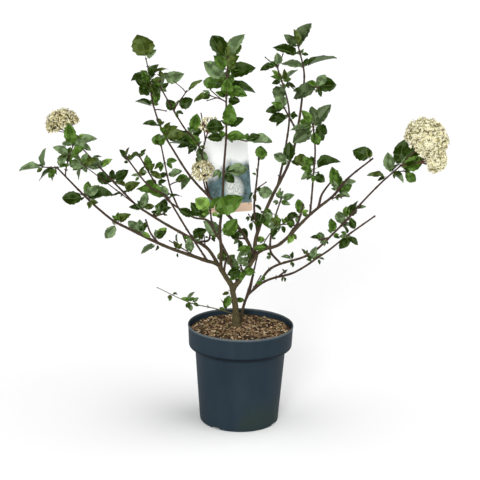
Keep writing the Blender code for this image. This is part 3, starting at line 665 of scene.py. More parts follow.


# Foliage: twigs, leaves and buds of every spray
# Each spray: the limb that carries it and the share of the way along where it starts, and the
# places that its own stem passes through. Some say their stem's tint and its radius at both ends.
# A shoot is (stem, share along it, tip), where stem 0 is the spray's own, 1 its first shoot and
# -1 the limb. A node is (stem, share along it, leaves). A leaf is (degrees clockwise from up as
# seen from the front, length, degrees it is turned edge on, tint, width against the usual,
# degrees it leans away from the front), and may leave out the last two. The tints are dark,
# green, silvery (a painted sheen for leaves that reflect the sky), yellow, olive, brown and
# muted. A head of blossom is (centre, radius, height, share of its places that hold a floret,
# how far the dome reaches past its widest ring, axis), and may leave out the axis.

sprayPlans = {
    "foliage_left_low": dict(
        limb="bough_left_low", share=1,
        line=[(-277, -135, 477), (-312, -158, 518), (-351, -185, 568)],
        shoots=[(0, 0.86, (-323, -172, 608)), (0, 0.99, (-375, -200, 572))],
        nodes=[
            (0, 0.02, (50, 27, 20, "o"), (-135, 33, 5, "s"), (5, 18, 30, "g")),
            (0, 0.46, (65, 24, 30, "s"), (70, 44, 40, "d"), (120, 12, 40, "d"), (165, 12, 20, "o")),
            (0, 0.52, (-95, 44, 5, "d"), (50, 30, 10, "s"), (10, 26, 20, "g")),
            (1, 0.4, (10, 31, 10, "g"), (95, 26, 10, "s")),
            (1, 0.72, (-60, 28, 20, "s"), (70, 28, 25, "g"), (120, 22, 30, "s")),
            (0, 1, (-145, 25, 20, "s"), (-113, 38, 50, "d"), (30, 30, 20, "s")),
            (1, 1, (-5, 40, 0, "g"), (-75, 20, 20, "s"), (60, 26, 20, "s")),
            (2, 1, (-97, 42, 64, "s", 0.9, 0), (5, 32, 68, "o", 0.8, 0))]),
    "foliage_left_back": dict(
        limb="bough_left_back", share=1,
        line=[(-261, 138, 459), (-316, 168, 508), (-357, 188, 546)],
        shoots=[(0, 0.04, (-342, 120, 517))],
        nodes=[
            (-1, 1, (10, 32, 10, "s"), (-30, 18, 30, "d"), (70, 24, 20, "o"), (-80, 24, 30, "d")),
            (0, 0.27, (50, 35, 10, "o"), (-85, 26, 65, "d")),
            (0, 0.45, (-62, 38, 0, "d", 1.1), (60, 37, 0, "d"), (100, 28, 20, "o"),
             (-15, 24, 20, "d")),
            (0, 0.66, (-75, 26, 10, "s"), (-30, 26, 0, "s", 1.1), (50, 26, 10, "y"),
             (25, 18, 50, "d")),
            (0, 0.78, (-120, 40, 20, "o"), (60, 18, 30, "d"), (-90, 26, 25, "g")),
            (1, 1, (190, 29, 60, "s"), (-60, 24, 30, "g"), (20, 24, 20, "s"), (75, 28, 20, "o")),
            (0, 1, (25, 30, 0, "y", 1.2), (65, 37, 25, "s"), (-15, 20, 30, "o"),
             (110, 26, 20, "s"))],
        heads=[((-392, 196, 587), 36, 35, 0.9, 0.15, (-0.35, 0, 1))]),
    "foliage_left_front": dict(
        limb="bough_left_front", share=1, line=[(-181, -125, 522), (-225, -150, 585)],
        nodes=[
            (0, 0, (-74, 58, 15, "g", 1.1, 0), (70, 24, 30, "d")),
            (0, 0.6, (12, 22, 45, "o"), (-80, 16, 30, "s")),
            (0, 0.9, (40, 20, 45, "d"), (-45, 20, 20, "o")),
            (0, 1, (-40, 15, 40, "d"), (15, 18, 50, "b"))]),
    "foliage_inner_left": dict(
        limb="bough_inner_left", share=1, line=[(-169, -70, 511), (-203, -90, 574)],
        nodes=[
            (-1, 0.1, (-20, 30, 0, "d", 1.2)), (-1, 0.24, (-30, 32, 10, "d"), (20, 27, 20, "d")),
            (-1, 0.42, (-60, 30, 20, "d"), (10, 25, 30, "d")),
            (0, 0.45, (60, 18, 20, "d"), (-70, 20, 30, "g")),
            (0, 0.7, (110, 25, 10, "o"), (-90, 22, 30, "s"), (-15, 27, 0, "g")),
            (0, 1, (-60, 17, 30, "o"), (30, 15, 40, "d"))]),
    "foliage_inner_tall": dict(
        limb="bough_inner_left", share=0.85, line=[(-146, -48, 505), (-165, -35, 587)],
        shoots=[(0, 0.35, (-118, -50, 522))],
        nodes=[
            (0, 0.5, (75, 28, 20, "s"), (-80, 19, 40, "d")),
            (0, 0.72, (70, 22, 15, "g"), (-115, 22, 20, "g")),
            (0, 1, (20, 16, 40, "g"), (-50, 14, 40, "d"))]),
    "foliage_top_left": dict(
        limb="bough_top_left", share=1, line=[(-176, 135, 595), (-196, 148, 652), (-204, 160, 710)],
        shoots=[
            (0, 0.7, (-175, 140, 700)), (0, 0.99, (-210, 162, 736)), (0, 0.52, (-168, 140, 631))],
        nodes=[
            (-1, 0.36, (-92, 29, 10, "g"), (213, 27, 20, "s")),
            (0, 0.12, (-82, 36, 20, "g"), (-20, 20, 20, "o")),
            (0, 0.2, (60, 26, 25, "o"), (17, 24, 40, "o"), (120, 26, 20, "d")),
            (0, 0.31, (-78, 30, 60, "d"), (-20, 19, 10, "o")),
            (0, 0.57, (12, 35, 40, "g"), (-70, 37, 45, "d")),
            (0, 0.7, (-50, 26, 15, "d"), (35, 28, 10, "d")),
            (0, 0.8, (-65, 28, 10, "d"), (60, 27, 20, "d")),
            (1, 0.6, (120, 21, 0, "s", 1.1), (-40, 18, 20, "d")),
            (0, 0.88, (-145, 31, 0, "o"), (110, 22, 20, "d")),
            (0, 0.96, (-112, 37, 45, "d"), (57, 36, 45, "o"), (-52, 19, 55, "o")),
            (1, 1, (80, 43, 0, "s"), (-10, 17, 30, "o")), (2, 1, (-14, 48, 5, "o", 1.65)),
            (0, 0.84, (-30, 28, 15, "g"), (150, 28, 20, "o"), (75, 30, 10, "o")),
            (0, 0.92, (25, 30, 20, "d"), (-95, 28, 30, "o"), (170, 27, 10, "d"))]),
    "foliage_top_inner": dict(
        limb="bough_top_inner", share=1, line=[(-121, 32, 611), (-147, 22, 655), (-169, 10, 696)],
        shoots=[(0, 0.62, (-119, 16, 688)), (1, 0.97, (-141, 14, 708))],
        nodes=[
            (-1, 0.6, (-12, 40, 20, "s"), (-80, 18, 30, "d")),
            (0, 0.02, (-62, 46, 40, "g", 1, 0), (-80, 56, 55, "d", 1, 0), (-96, 40, 50, "d"),
             (-118, 26, 30, "d"), (165, 16, 20, "d"), (-40, 30, 25, "g")),
            (0, 0.2, (14, 42, 5, "g"), (-88, 36, 35, "g"), (-70, 26, 20, "d"), (60, 24, 20, "d")),
            (0, 0.26, (-104, 38, 50, "o"), (80, 16, 30, "s")),
            (0, 0.61, (-30, 24, 0, "d", 1.4), (110, 16, 30, "d")),
            (1, 0.3, (72, 31, 0, "d", 1.3), (-70, 14, 30, "g")), (1, 1, (47, 37, 65, "o")),
            (0, 1, (20, 26, 60, "o"), (-70, 14, 40, "d"))]),
    "blossom_upper": dict(
        limb="bough_top_inner", share=0.86, line=[(-78, 26, 594)],
        shoots=[(0, 0.8, (-88, 20, 644))], heads=[((-72, 20, 615), 21, 26, 0.42, 0.2)]),
    "blossom_middle": dict(
        limb="bough_leader", share=0.97, line=[(-81, 34, 499)],
        heads=[((-83, 10, 529), 23, 17, 0.8, 0.25)]),
    "foliage_centre": dict(
        limb="bough_centre", share=1, line=[(-36, -50, 614), (-37, -56, 684), (-35, -62, 766)],
        shoots=[
            (0, 0.3, (3, -40, 601)), (0, 0.62, (-67, -66, 693)), (2, 0.3, (-67, -68, 704)),
            (2, 0.6, (-72, -66, 684))],
        nodes=[
            (0, 0, (-108, 23, 30, "s"), (88, 42, 45, "s"), (145, 27, 10, "d", 1.1)),
            (0, 0.3, (55, 24, 15, "g"), (80, 36, 40, "g"), (-85, 33, 40, "d")),
            (1, 1, (98, 48, 62, "s"), (20, 14, 20, "g")),
            (0, 0.41, (10, 38, 10, "g", 1.1), (62, 32, 15, "d"), (-92, 36, 15, "d", 1.25)),
            (0, 0.66, (110, 24, 0, "d", 1.3), (5, 32, 0, "g", 1.2), (-60, 20, 20, "g")),
            (0, 0.72, (98, 36, 20, "g"), (84, 50, 58, "d"), (80, 26, 60, "s")),
            (0, 0.75, (-66, 50, 35, "g"), (20, 28, 10, "g"), (62, 26, 10, "d"), (-24, 30, 10, "o"),
             (-40, 36, 15, "s")),
            (2, 1, (-104, 32, 25, "o"), (-60, 16, 40, "s")),
            (0, 0.84, (63, 52, 15, "d"), (-62, 48, 5, "s", 1.1), (-105, 24, 20, "g")),
            (0, 0.9, (30, 31, 10, "o"), (-40, 34, 20, "g"), (78, 28, 40, "g")),
            (0, 0.95, (-14, 44, 10, "o", 1.1), (55, 24, 20, "g")),
            (0, 1, (-36, 54, 12, "d"), (23, 54, 22, "s"), (38, 36, 30, "g"))]),
    "foliage_middle": dict(
        limb="bough_cross", share=0.9, line=[(-65, -76, 466)],
        nodes=[
            (0, 1, (-48, 34, 0, "y", 1.45, 5), (70, 64, 0, "g", 1, 0)),
            (0, 0.8, (-90, 13, 20, "y"), (100, 13, 20, "y"))]),
    "foliage_hanging": dict(
        limb="bough_centre", share=0.5, line=[(-44, -48, 443)],
        nodes=[
            (-1, 0.33, (-38, 40, 0, "s", 1.15, 0), (43, 44, 0, "g", 1.15, 0)),
            (0, 1, (-20, 10, 30, "d"))]),
    "foliage_fork_left": dict(
        limb="bough_left", share=0.7, line=[(-33, 0, 347)],
        nodes=[
            (0, 0.6, (-15, 27, 0, "o", 1.3), (50, 23, 10, "o", 1.2), (110, 20, 60, "d")),
            (0, 0.9, (-60, 14, 20, "o"))]),
    "foliage_fork_right": dict(
        limb="bough_right", share=0.4, line=[(-2, -10, 336)],
        nodes=[
            (0, 1, (-65, 25, 0, "s", 1.2), (40, 22, 10, "s", 1.2), (-10, 20, 0, "s", 1.3)),
            (0, 0.5, (-105, 28, 0, "d", 1.2), (110, 25, 0, "g", 1.2), (180, 20, 0, "g", 1.2)),
            (0, 0.2, (-130, 28, 20, "g"), (80, 20, 20, "d"))]),
    "foliage_node": dict(
        limb="bough_right", share=0.9, line=[(20, -10, 372)],
        nodes=[
            (0, 1, (-85, 25, 35, "g"), (82, 26, 35, "g")),
            (0, 0.6, (-105, 27, 30, "s"), (-150, 17, 30, "o"))]),
    "foliage_leader_low": dict(
        limb="bough_leader", share=0.3, line=[(-9, 36, 383)],
        nodes=[
            (-1, 0.45, (135, 25, 20, "d"), (175, 17, 30, "d"), (-40, 15, 30, "d")),
            (0, 0.5, (-75, 23, 0, "d", 1.3), (-20, 15, 20, "s")), (0, 0.9, (170, 22, 20, "d"))]),
    "foliage_right_node": dict(
        limb="bough_right_tall", share=0.5, line=[(40, 36, 440)],
        nodes=[
            (0, 0.5, (200, 29, 0, "d", 1.1), (165, 29, 20, "g"), (100, 19, 30, "d")),
            (0, 1, (-53, 20, 40, "d"), (-128, 27, 30, "d"), (133, 29, 20, "s"))]),
    "foliage_right_inner": dict(
        limb="bough_right_tall", share=0.25, line=[(23, 20, 452), (27, 8, 513), (30, 0, 556)],
        shoots=[(0, 0.57, (44, 14, 506)), (0, 0.05, (13, 22, 436))],
        nodes=[
            (0, 0.55, (95, 32, 0, "s", 1.35), (207, 26, 65, "d")), (0, 0.78, (-10, 14, 65, "d")),
            (2, 0.5, (190, 18, 60, "d")), (2, 0.9, (-120, 9, 20, "d")),
            (0, 1, (12, 26, 0, "g", 1.7, 0))]),
    "foliage_right_mid": dict(
        limb="bough_right_top", share=0.8, line=[(81, 80, 651)],
        nodes=[
            (0, 0.45, (20, 17, 20, "d")),
            (0, 0.6, (-100, 39, 25, "d"), (-127, 29, 35, "d"), (80, 16, 20, "d")),
            (0, 0.95, (-24, 32, 10, "s", 1.3), (-88, 36, 40, "d"), (-55, 24, 20, "g"))]),
    "foliage_right_elbow": dict(
        limb="bough_right_tall", share=0.93, line=[(95, 60, 544)],
        nodes=[(0, 0.85, (5, 42, 25, "d"), (-62, 33, 10, "s", 1.1)), (0, 0.97, (88, 45, 25, "o"))]),
    "foliage_right_top": dict(
        limb="bough_right_top", share=1, line=[(118, 100, 669), (121, 102, 719), (107, 104, 776)],
        shoots=[(0, 0.45, (149, 84, 693)), (0, 0.3, (91, 108, 695))],
        nodes=[
            (0, 0.42, (-100, 17, 20, "d")), (1, 0.55, (84, 50, 5, "d", 1.15)),
            (1, 1, (-97, 50, 20, "m", 1.1)),
            (1, 0.97, (150, 18, 30, "d"), (27, 32, 5, "s", 1.1), (-60, 22, 20, "g")),
            (0, 0.71, (-70, 43, 42, "s"), (62, 64, 62, "d")),
            (0, 0.88, (-70, 53, 42, "d"), (95, 14, 30, "d")),
            (0, 1, (19, 49, 25, "m", 1, 0), (-50, 29, 10, "m", 1, -28),
             (-15, 29, 25, "o", 0.9, -28), (10, 24, 40, "d"))]),
    "foliage_right_back": dict(
        limb="bough_right_tall", share=0.85, line=[(87, 128, 554), (94, 165, 634), (67, 195, 723)],
        shoots=[(0, 0.98, (43, 196, 740)), (0, 0.98, (78, 196, 746))],
        nodes=[
            (0, 0.84, (-160, 34, 0, "m", 1.35), (95, 25, 20, "d")),
            (0, 0.87, (-35, 29, 20, "y"), (-65, 23, 30, "g"), (10, 25, 30, "o"), (50, 39, 62, "s")),
            (0, 1, (0, 25, 5, "s", 1.3), (-98, 34, 45, "d"), (-60, 14, 30, "d"))]),
    "foliage_right_up": dict(
        limb="bough_right_up", share=1, line=[(135, -142, 604), (129, -148, 653)],
        nodes=[
            (-1, 0.97, (-110, 23, 40, "s"), (130, 24, 0, "d", 1.3)),
            (0, 0.06, (-85, 22, 10, "g"), (-125, 24, 30, "g"), (64, 48, 50, "d")),
            (0, 0.12, (-45, 23, 20, "g"), (-15, 19, 20, "d")),
            (0, 0.9, (-122, 42, 5, "m", 1.1), (165, 26, 0, "g", 1.2), (140, 26, 5, "d", 1.2)),
            (0, 0.96, (118, 28, 0, "d", 1.5), (-60, 25, 30, "g"), (-95, 40, 45, "s")),
            (0, 1, (3, 36, 5, "m"), (37, 43, 60, "m"), (-35, 30, 20, "g"))]),
    "foliage_right_end": dict(
        limb="bough_right_low", share=1, line=[(201, -130, 548), (242, -165, 593)],
        shoots=[(-1, 0.98, (195, -140, 515))],
        nodes=[
            (0, 0.1, (110, 13, 40, "o")),
            (0, 0.17, (-14, 44, 20, "g", 0.9, 0), (68, 28, 20, "g"), (-20, 19, 20, "s"),
             (110, 22, 30, "s")),
            (0, 0.29, (-10, 17, 20, "d"), (63, 30, 55, "s")),
            (0, 0.97, (-55, 34, 0, "d", 1.5, 0))]),
    "foliage_right_spray": dict(
        limb="bough_right_low", share=0.85, line=[(155, -80, 505), (178, -72, 536)],
        nodes=[(0, 1, (25, 17, 30, "d"), (110, 15, 30, "d"))]),
    "foliage_right_under": dict(
        limb="bough_right_low", share=0.42, line=[(113, -42, 443), (120, -36, 472)],
        shoots=[(0, 0.3, (69, -50, 434)), (0, 0.65, (83, -44, 436))],
        nodes=[
            (0, 0.05, (195, 21, 10, "y", 1.1)), (0, 0.15, (-12, 24, 10, "d", 1.1)),
            (0, 0.7, (-115, 29, 35, "d"), (50, 15, 20, "y")),
            (1, 0.6, (80, 17, 20, "g"), (10, 14, 30, "o")),
            (1, 0.78, (-60, 21, 0, "o", 1.1), (-100, 25, 10, "s"), (150, 16, 20, "d")),
            (1, 0.95, (-140, 23, 10, "d", 1.1), (-20, 17, 0, "g", 1.1)),
            (0, 0.66, (-3, 31, 0, "g", 1.05))]),
    "foliage_low_right": dict(
        limb="bough_low_right", share=1, line=[(202, -140, 436), (247, -195, 488)],
        nodes=[
            (-1, 0.36, (-10, 12, 20, "d"), (170, 9, 20, "d")),
            (-1, 0.8, (8, 25, 20, "s"), (-50, 12, 30, "d")), (-1, 0.88, (105, 11, 55, "d")),
            (0, 0.49, (205, 27, 0, "d", 1.2), (132, 23, 40, "d"), (-20, 15, 35, "d"))]),
    "foliage_far_right": dict(
        limb="bough_far_right", share=1, line=[(239, 14, 464), (278, 8, 510), (316, 0, 549)],
        shoots=[(0, 0.88, (325, 4, 538))],
        nodes=[
            (0, 0, (-5, 27, 0, "s", 1.3), (82, 31, 60, "s")),
            (0, 0.13, (-15, 23, 10, "y"), (25, 29, 0, "d", 1.2), (150, 23, 10, "d", 1.2),
             (-75, 24, 60, "o")),
            (0, 0.27, (65, 20, 55, "s"), (12, 16, 55, "d")), (0, 0.79, (-73, 35, 62, "o")),
            (0, 0.87, (-15, 39, 0, "s", 1.05), (112, 25, 60, "s"), (122, 26, 62, "s"),
             (35, 23, 55, "d")),
            (1, 1, (128, 32, 5, "g", 1.05)),
            (0, 1, (8, 52, 8, "d", 1.05, 0), (44, 50, 5, "d", 1.1, -12), (92, 30, 10, "d"),
             (72, 46, 0, "g", 1.1, -5))],
        heads=[((366, 0, 603), 45, 42, 1, 0.7), ((384, -10, 566), 26, 24, 1, 0.7)]),
    "foliage_far_middle": dict(
        limb="bough_far_right", share=0.84, line=[(160, 20, 387)],
        nodes=[
            (-1, 0.42, (0, 14, 30, "d"), (180, 11, 20, "d"), (-75, 22, 60, "s")),
            (-1, 0.55, (-20, 14, 30, "d"), (60, 13, 30, "o")),
            (-1, 0.88, (3, 29, 0, "g"), (110, 13, 30, "d")),
            (0, 0.1, (-80, 21, 0, "s", 1.2), (200, 14, 30, "s")), (0, 0.9, (-85, 19, 50, "d"))]),
    "foliage_thin_right": dict(
        limb="bough_far_right", share=0.3, line=[(59, 48, 356), (67, 56, 421), (79, 62, 462)],
        shoots=[(0, 0.5, (41, 46, 363))],
        nodes=[
            (0, 0.15, (-120, 12, 0, "s")), (0, 0.3, (-100, 19, 55, "d")),
            (0, 0.4, (45, 20, 58, "d")), (1, 0.5, (-100, 20, 20, "y")),
            (0, 0.95, (100, 18, 45, "s"), (-80, 13, 20, "s")),
            (0, 1, (62, 25, 25, "s"), (-30, 15, 10, "s"), (5, 22, 60, "y"))]),
    "twigs_behind": dict(
        limb="stem_back", share=0.4, line=[(20, 52, 284), (32, 58, 338)],
        shoots=[(-1, 0.75, (25, 60, 295)), (-1, 0.8, (39, 50, 296))],
        nodes=[(-1, 0.5, (-60, 15, 0, "g", 1.3))]),
    "foliage_low_small": dict(
        limb="bough_low_right", share=0.28, line=[(89, -20, 330)],
        nodes=[(-1, 0.08, (20, 12, 10, "g"), (-100, 12, 20, "g"))]),
    "foliage_left_inner": dict(
        limb="bough_left_back", share=0.32, line=[(-69, 22, 382), (-69, 14, 413)],
        shoots=[(-1, 0.22, (-79, 20, 390))],
        nodes=[
            (0, 0.05, (-30, 15, 10, "o"), (20, 13, 30, "d")),
            (0, 0.5, (95, 10, 30, "d"), (-80, 8, 30, "d")),
            (0, 1, (-40, 12, 30, "d"), (40, 12, 30, "g"))]),
    "foliage_left_under": dict(
        limb="bough_left_back", share=0.5, line=[(-118, 60, 364)],
        nodes=[(-1, 0.55, (188, 20, 58, "d")), (-1, 0.4, (60, 32, 10, "d"), (-80, 14, 30, "g"))]),
    "foliage_left_middle": dict(
        limb="bough_left_low", share=0.62, line=[(-183, -90, 424), (-190, -98, 448)],
        shoots=[(-1, 0.2, (-145, -55, 397))],
        nodes=[
            (-1, 0.31, (-5, 27, 20, "s", 1.1)),
            (-1, 0.42, (-25, 17, 10, "o"), (20, 13, 30, "o"), (180, 9, 20, "d")),
            (-1, 0.62, (-118, 34, 45, "s")),
            (-1, 0.79, (-42, 34, 10, "s"), (20, 24, 10, "d"), (100, 17, 20, "y"),
             (-10, 26, 20, "s")),
            (0, 0.1, (45, 28, 10, "y"), (60, 23, 10, "d"), (30, 17, 65, "d"))]),
    "foliage_left_ridge": dict(
        limb="bough_left_back", share=0.86, line=[(-168, 86, 420)],
        nodes=[
            (0, 0.3, (15, 28, 20, "g"), (-60, 14, 30, "d")),
            (0, 1, (0, 30, 10, "d"), (50, 20, 20, "d"), (-50, 24, 20, "s"))]),
    "wisp_low": dict(
        limb="trunk", share=0.3, stem=("olive", 1.3, 0.8),
        line=[(-54, 8, 238), (-106, -6, 254), (-171, -22, 289)],
        nodes=[
            (-1, 0.85, (207, 29, 10, "g")), (0, 0.1, (-10, 23, 45, "d")),
            (0, 0.53, (50, 16, 40, "s"), (195, 15, 10, "s", 1.2)),
            (0, 0.58, (24, 23, 58, "s"), (-55, 15, 20, "y"), (-160, 11, 20, "d")),
            (0, 0.8, (-120, 11, 20, "b"), (60, 9, 30, "d"))]),
}

leafPlan = dict(
    rows=9, columns=(-1, -0.52, -0.035, 0.035, 0.52, 1), halfWidth=0.30, widest=0.44, tip=0.008,
    thick=0.012, teeth=0.05, ripple=0.028, quilt=0.014, toneStep=0.13, across=Vector((1, 0, 0)),
    upward=Vector((0, 0.245, 0.97)), front=Vector((0, -0.97, 0.245)), away=(-30, 30), roll=12.0,
    growth=1.08, behindFrom=22, behindChance=0.4, behindSizes=(0.7, 0.95), behindTints="ddgso",
    axilChance=0.75, axilLeast=9, axilShare=0.5, axilTurn=(20, 55), axilTilt=25, axilTints="ggods",
    petiole=0.12, petioleRadius=0.55, rough=0.34, otherGloss=0.07, veins=22, veinDepth=0.0014,
    shapes=(  # droop, fold, wave, sweep, and a bias that puts painted light on one half and painted shade on the other
        (0.10, 0.16, 0.7, 0.05, 0.2), (0.20, 0.26, -0.8, -0.08, -0.25),
        (-0.06, 0.32, 1.1, 0.08, 0.3), (0.32, 0.12, -1.2, -0.04, -0.15),
        (0.14, 0.38, 0.6, -0.10, 0.25), (0.24, 0.22, 1.0, 0.10, -0.3),
        (0.04, 0.28, -1.0, 0.03, 0.1)))
# The tint s is a painted sheen: the pale grey-green of glossy leaves that reflect the sky
leafTints = dict(
    d=(0.019, 0.041, 0.002), g=(0.062, 0.128, 0.014), s=(0.125, 0.185, 0.080),
    y=(0.150, 0.260, 0.044), o=(0.058, 0.086, 0.012), b=(0.095, 0.078, 0.030),
    m=(0.056, 0.084, 0.032))
# Every tint comes in three copies: plain, painted light (brighter and paler, a painted sheen) and
# painted shade
leafTones = dict(  # brightness, paleness, gloss
    Plain=(1.0, 0.001, 0.06), PaintedLight=(1.32, 0.009, 0.17), PaintedShade=(0.62, 0.0, 0.02))
leafOthers = dict(rib=(0.080, 0.120, 0.034), under=(0.100, 0.150, 0.064))
twigTints = dict(brown=(0.045, 0.024, 0.016), olive=(0.085, 0.080, 0.035),
                 petiole=(0.12, 0.15, 0.05), bud=(0.030, 0.020, 0.016))


def leafShape(droop, fold, wave, sweep, sideShadeBias):
    # An ovate toothed blade one unit long, from its foot at the origin along X, its upper face
    # to +Z. Noise and a bias to one side deal painted light and painted shade to its faces.
    p = leafPlan
    rows, columns = p["rows"], p["columns"]
    wide = len(columns)
    rib = wide // 2 - 1
    points, uvs, faces, slots = [], [], [], []
    alongs = [(row / rows) ** 0.92 for row in range(rows + 1)]
    for row, along in enumerate(alongs):
        inner = 0 < row < rows
        half = p["tip"]
        if inner:
            half = p["halfWidth"] * (along / p["widest"]) ** 0.66
            half *= ((1 - along) / (1 - p["widest"])) ** 0.84
        for side in columns:
            out = abs(side)
            edge = out == 1
            tooth = p["teeth"] * (1 if row % 2 else -0.35) if edge and inner else 0
            lift = fold * out * half / p["halfWidth"] * (1.15 - 0.45 * out)
            ripple = p["ripple"] * math.sin(along * 12 + (2 if side > 0 else 0)) * out * wave
            quilt = p["quilt"] * (row % 2) * (out > 0.3) * (not edge)
            twist = 0.25 * wave * along * side * half
            points.append((along - 0.6 * max(tooth, 0),
                           side * (half + tooth * 0.5) + sweep * along * (2 * along - 1),
                           lift + ripple + quilt - droop * along * along + twist))
            uvs.append((0.5 + 0.5 * side, along))
    for row in range(rows):
        for column in range(wide - 1):
            corner = row * wide + column
            faces.append((corner, corner + wide, corner + wide + 1, corner + 1))
            middle = (columns[column] + columns[column + 1]) / 2
            # Each face takes the plain tone, painted light or painted shade, by noise and the side
            # bias
            patch = noise.noise(Vector((row / rows * 3.4, middle * 1.7, 40 * sweep)))
            patch += sideShadeBias * middle
            tone = "Plain"
            if abs(patch) > p["toneStep"]:
                tone = "PaintedLight" if patch > 0 else "PaintedShade"
            slots.append("rib" if column == rib else tone)
    keel = len(points)  # the line along the underside
    for along in alongs:
        bulge = p["thick"] * math.sin(math.pi * min(along + 0.08, 1))
        points.append((along, sweep * along * (2 * along - 1), -bulge - droop * along * along))
        uvs.append((0.5, along))
    for row in range(rows):
        left, right, middle = row * wide, row * wide + wide - 1, keel + row
        faces.append((middle, middle + 1, left + wide, left))
        faces.append((right, right + wide, middle + 1, middle))
        slots += ["under", "under"]
    return np.array(points), faces, slots, uvs


leafShapes = [leafShape(*shape) for shape in leafPlan["shapes"]]
leafSlots = [tint + tone for tint in leafTints for tone in leafTones] + [*leafOthers]
twigSlots = [*twigTints]


class Foliage:
    def __init__(self):
        self.leaves, self.twigs, self.blossom = Heap(), Heap(), Heap()
        self.count = 0

    def addLeaf(self, base, direction, normal, length, tint, shape, width):
        points, faces, slots, uvs = leafShapes[shape]
        across = normal.cross(direction).normalized()
        turn = np.array([direction * length, across * length * width, normal * length])
        names = [tint + slot if slot in leafTones else slot for slot in slots]
        indices = [leafSlots.index(name) for name in names]
        self.leaves.add(points @ turn + np.array(base), faces, indices, uvs)
        self.count += 1

    def addTube(self, limb, tint, sides=growth["twigSides"]):
        points, faces, _, _ = tubeOf(limb, sides)
        self.twigs.add(points, faces, twigSlots.index(tint))

    def addBud(self, foot, direction, thick, draw):
        length = draw.uniform(*growth["budLong"])
        thick = thick or draw.uniform(*growth["budThick"])
        line = [foot + direction * length * reach for reach in (-0.1, 0.15, 0.45, 0.8, 1)]
        bud = Limb(line, (thick, thick))
        bud.radii = [thick * share for share in (0.7, 0.9, 1, 0.6, 0.12)]
        self.addTube(bud, "bud", 5)

    def growLeaf(self, stem, share, direction, normal, length, tint, shape, width=1.0):
        # The stalk leaves the stem and bends into the blade
        p = leafPlan
        point, axis, radius = stem.at(share)
        out = direction
        if abs(direction.dot(axis)) < 0.98:
            out = (direction - axis * direction.dot(axis)).normalized()
        foot = point + out * radius * 0.4
        stalk = length * p["petiole"] + radius * 0.6
        base = foot + (direction * 0.8 + out * 0.45).normalized() * stalk
        bend = foot.lerp(base, 0.5) + (base - foot).length * 0.12 * axis
        line = smoothLine([foot, bend, base + direction * length * 0.03], None, 3)
        thin = p["petioleRadius"] * min(1, 0.5 + length / 60)
        self.addTube(Limb(line, (thin * 1.3, thin * 0.8)), "petiole", 4)
        self.addLeaf(base, direction, normal, length * (1 - p["petiole"]), tint, shape, width)


def turnToFront(direction, tilt, draw):
    # The upper face towards the front, turned up to the sky by tilt degrees
    front = leafPlan["front"]
    normal = (front - direction * front.dot(direction)).normalized()
    turned = [Quaternion(direction, math.radians(tilt * side)) @ normal for side in (-1, 1)]
    turned.sort(key=lambda way: way.z + draw.uniform(-0.15, 0.15))
    return Quaternion(direction, math.radians(draw.gauss(0, leafPlan["roll"]))) @ turned[1]


def growBehind(foliage, draw, stem, share, plane, length):
    # A leaf of the same pair that points away from the front
    p = leafPlan
    sway = Vector((draw.uniform(-0.2, 0.2), 0, draw.uniform(0, 0.35)))
    back = (plane * 0.3 - p["front"] + sway).normalized()
    upper = Vector((draw.uniform(-0.3, 0.3), 0, 1))
    upper = (upper - back * upper.dot(back)).normalized()
    foliage.growLeaf(stem, share, back, upper, length * draw.uniform(*p["behindSizes"]),
                     draw.choice(p["behindTints"]), draw.randrange(len(leafShapes)))


def growAxil(foliage, draw, stem, share, direction, length):
    # A young leaf beside the stalk
    p = leafPlan
    turn = draw.choice((-1, 1)) * math.radians(draw.uniform(*p["axilTurn"]))
    side = Quaternion(p["front"], turn) @ direction
    normal = turnToFront(side, p["axilTilt"], draw)
    size = draw.uniform(p["axilLeast"], p["axilLeast"] + p["axilShare"] * length)
    foliage.growLeaf(stem, share, side, normal, size, draw.choice(p["axilTints"]),
                     draw.randrange(len(leafShapes)))


def growNode(foliage, draw, stem, share, leaves):
    # The leaves seen from the front, then the ones behind and in the axils, which follow by rule
    p = leafPlan
    for bearing, length, tilt, tint, *more in leaves:
        more += [1.0, draw.uniform(*p["away"])][len(more):]
        width, away = more
        turn, away = math.radians(bearing), math.radians(away)
        plane = p["across"] * math.sin(turn) + p["upward"] * math.cos(turn)
        direction = plane * math.cos(away) - p["front"] * math.sin(away)
        normal = turnToFront(direction, tilt, draw)
        foliage.growLeaf(stem, share, direction, normal, p["growth"] * length / math.cos(away),
                         tint, draw.randrange(len(leafShapes)), width)
        if length > p["behindFrom"] and draw.random() < p["behindChance"]:
            growBehind(foliage, draw, stem, share, plane, length)
        if draw.random() < p["axilChance"]:
            growAxil(foliage, draw, stem, share, direction, length)


def growBuds(foliage, limb, places, draw):
    # A pair of pointed buds at a bare node
    least, most = growth["budRange"]
    for place in places:
        share = place / limb.lengths[-1]
        if not least < share < most or draw.random() > growth["budChance"]:
            continue
        point, axis, radius = limb.at(share)
        side = Quaternion(axis, draw.uniform(0, math.pi)) @ axis.orthogonal().normalized()
        for way in (side, -side):
            direction = (way * 0.8 + axis * 0.6).normalized()
            foliage.addBud(point + way * radius * 0.8, direction, None, draw)


def growStems(plan, parent, foot, tip):
    # The spray's own stem and its shoots, and last the limb that carries them
    p = growth
    foot = min(parent.at(plan["share"])[2] * 0.97, foot)
    stems = [growFrom(parent, plan["share"], plan["line"], (foot, tip)), parent]
    for stem, share, tip in plan.get("shoots", ()):
        start, axis, radius = stems[stem].at(share)
        foot = min(p["shootFoot"], radius)
        line = smoothLine([start, tip], (Vector(tip) - start).normalized() + axis * 0.5)
        stems.insert(-1, Limb(line, (foot, foot * p["shootTaper"])))
    return stems


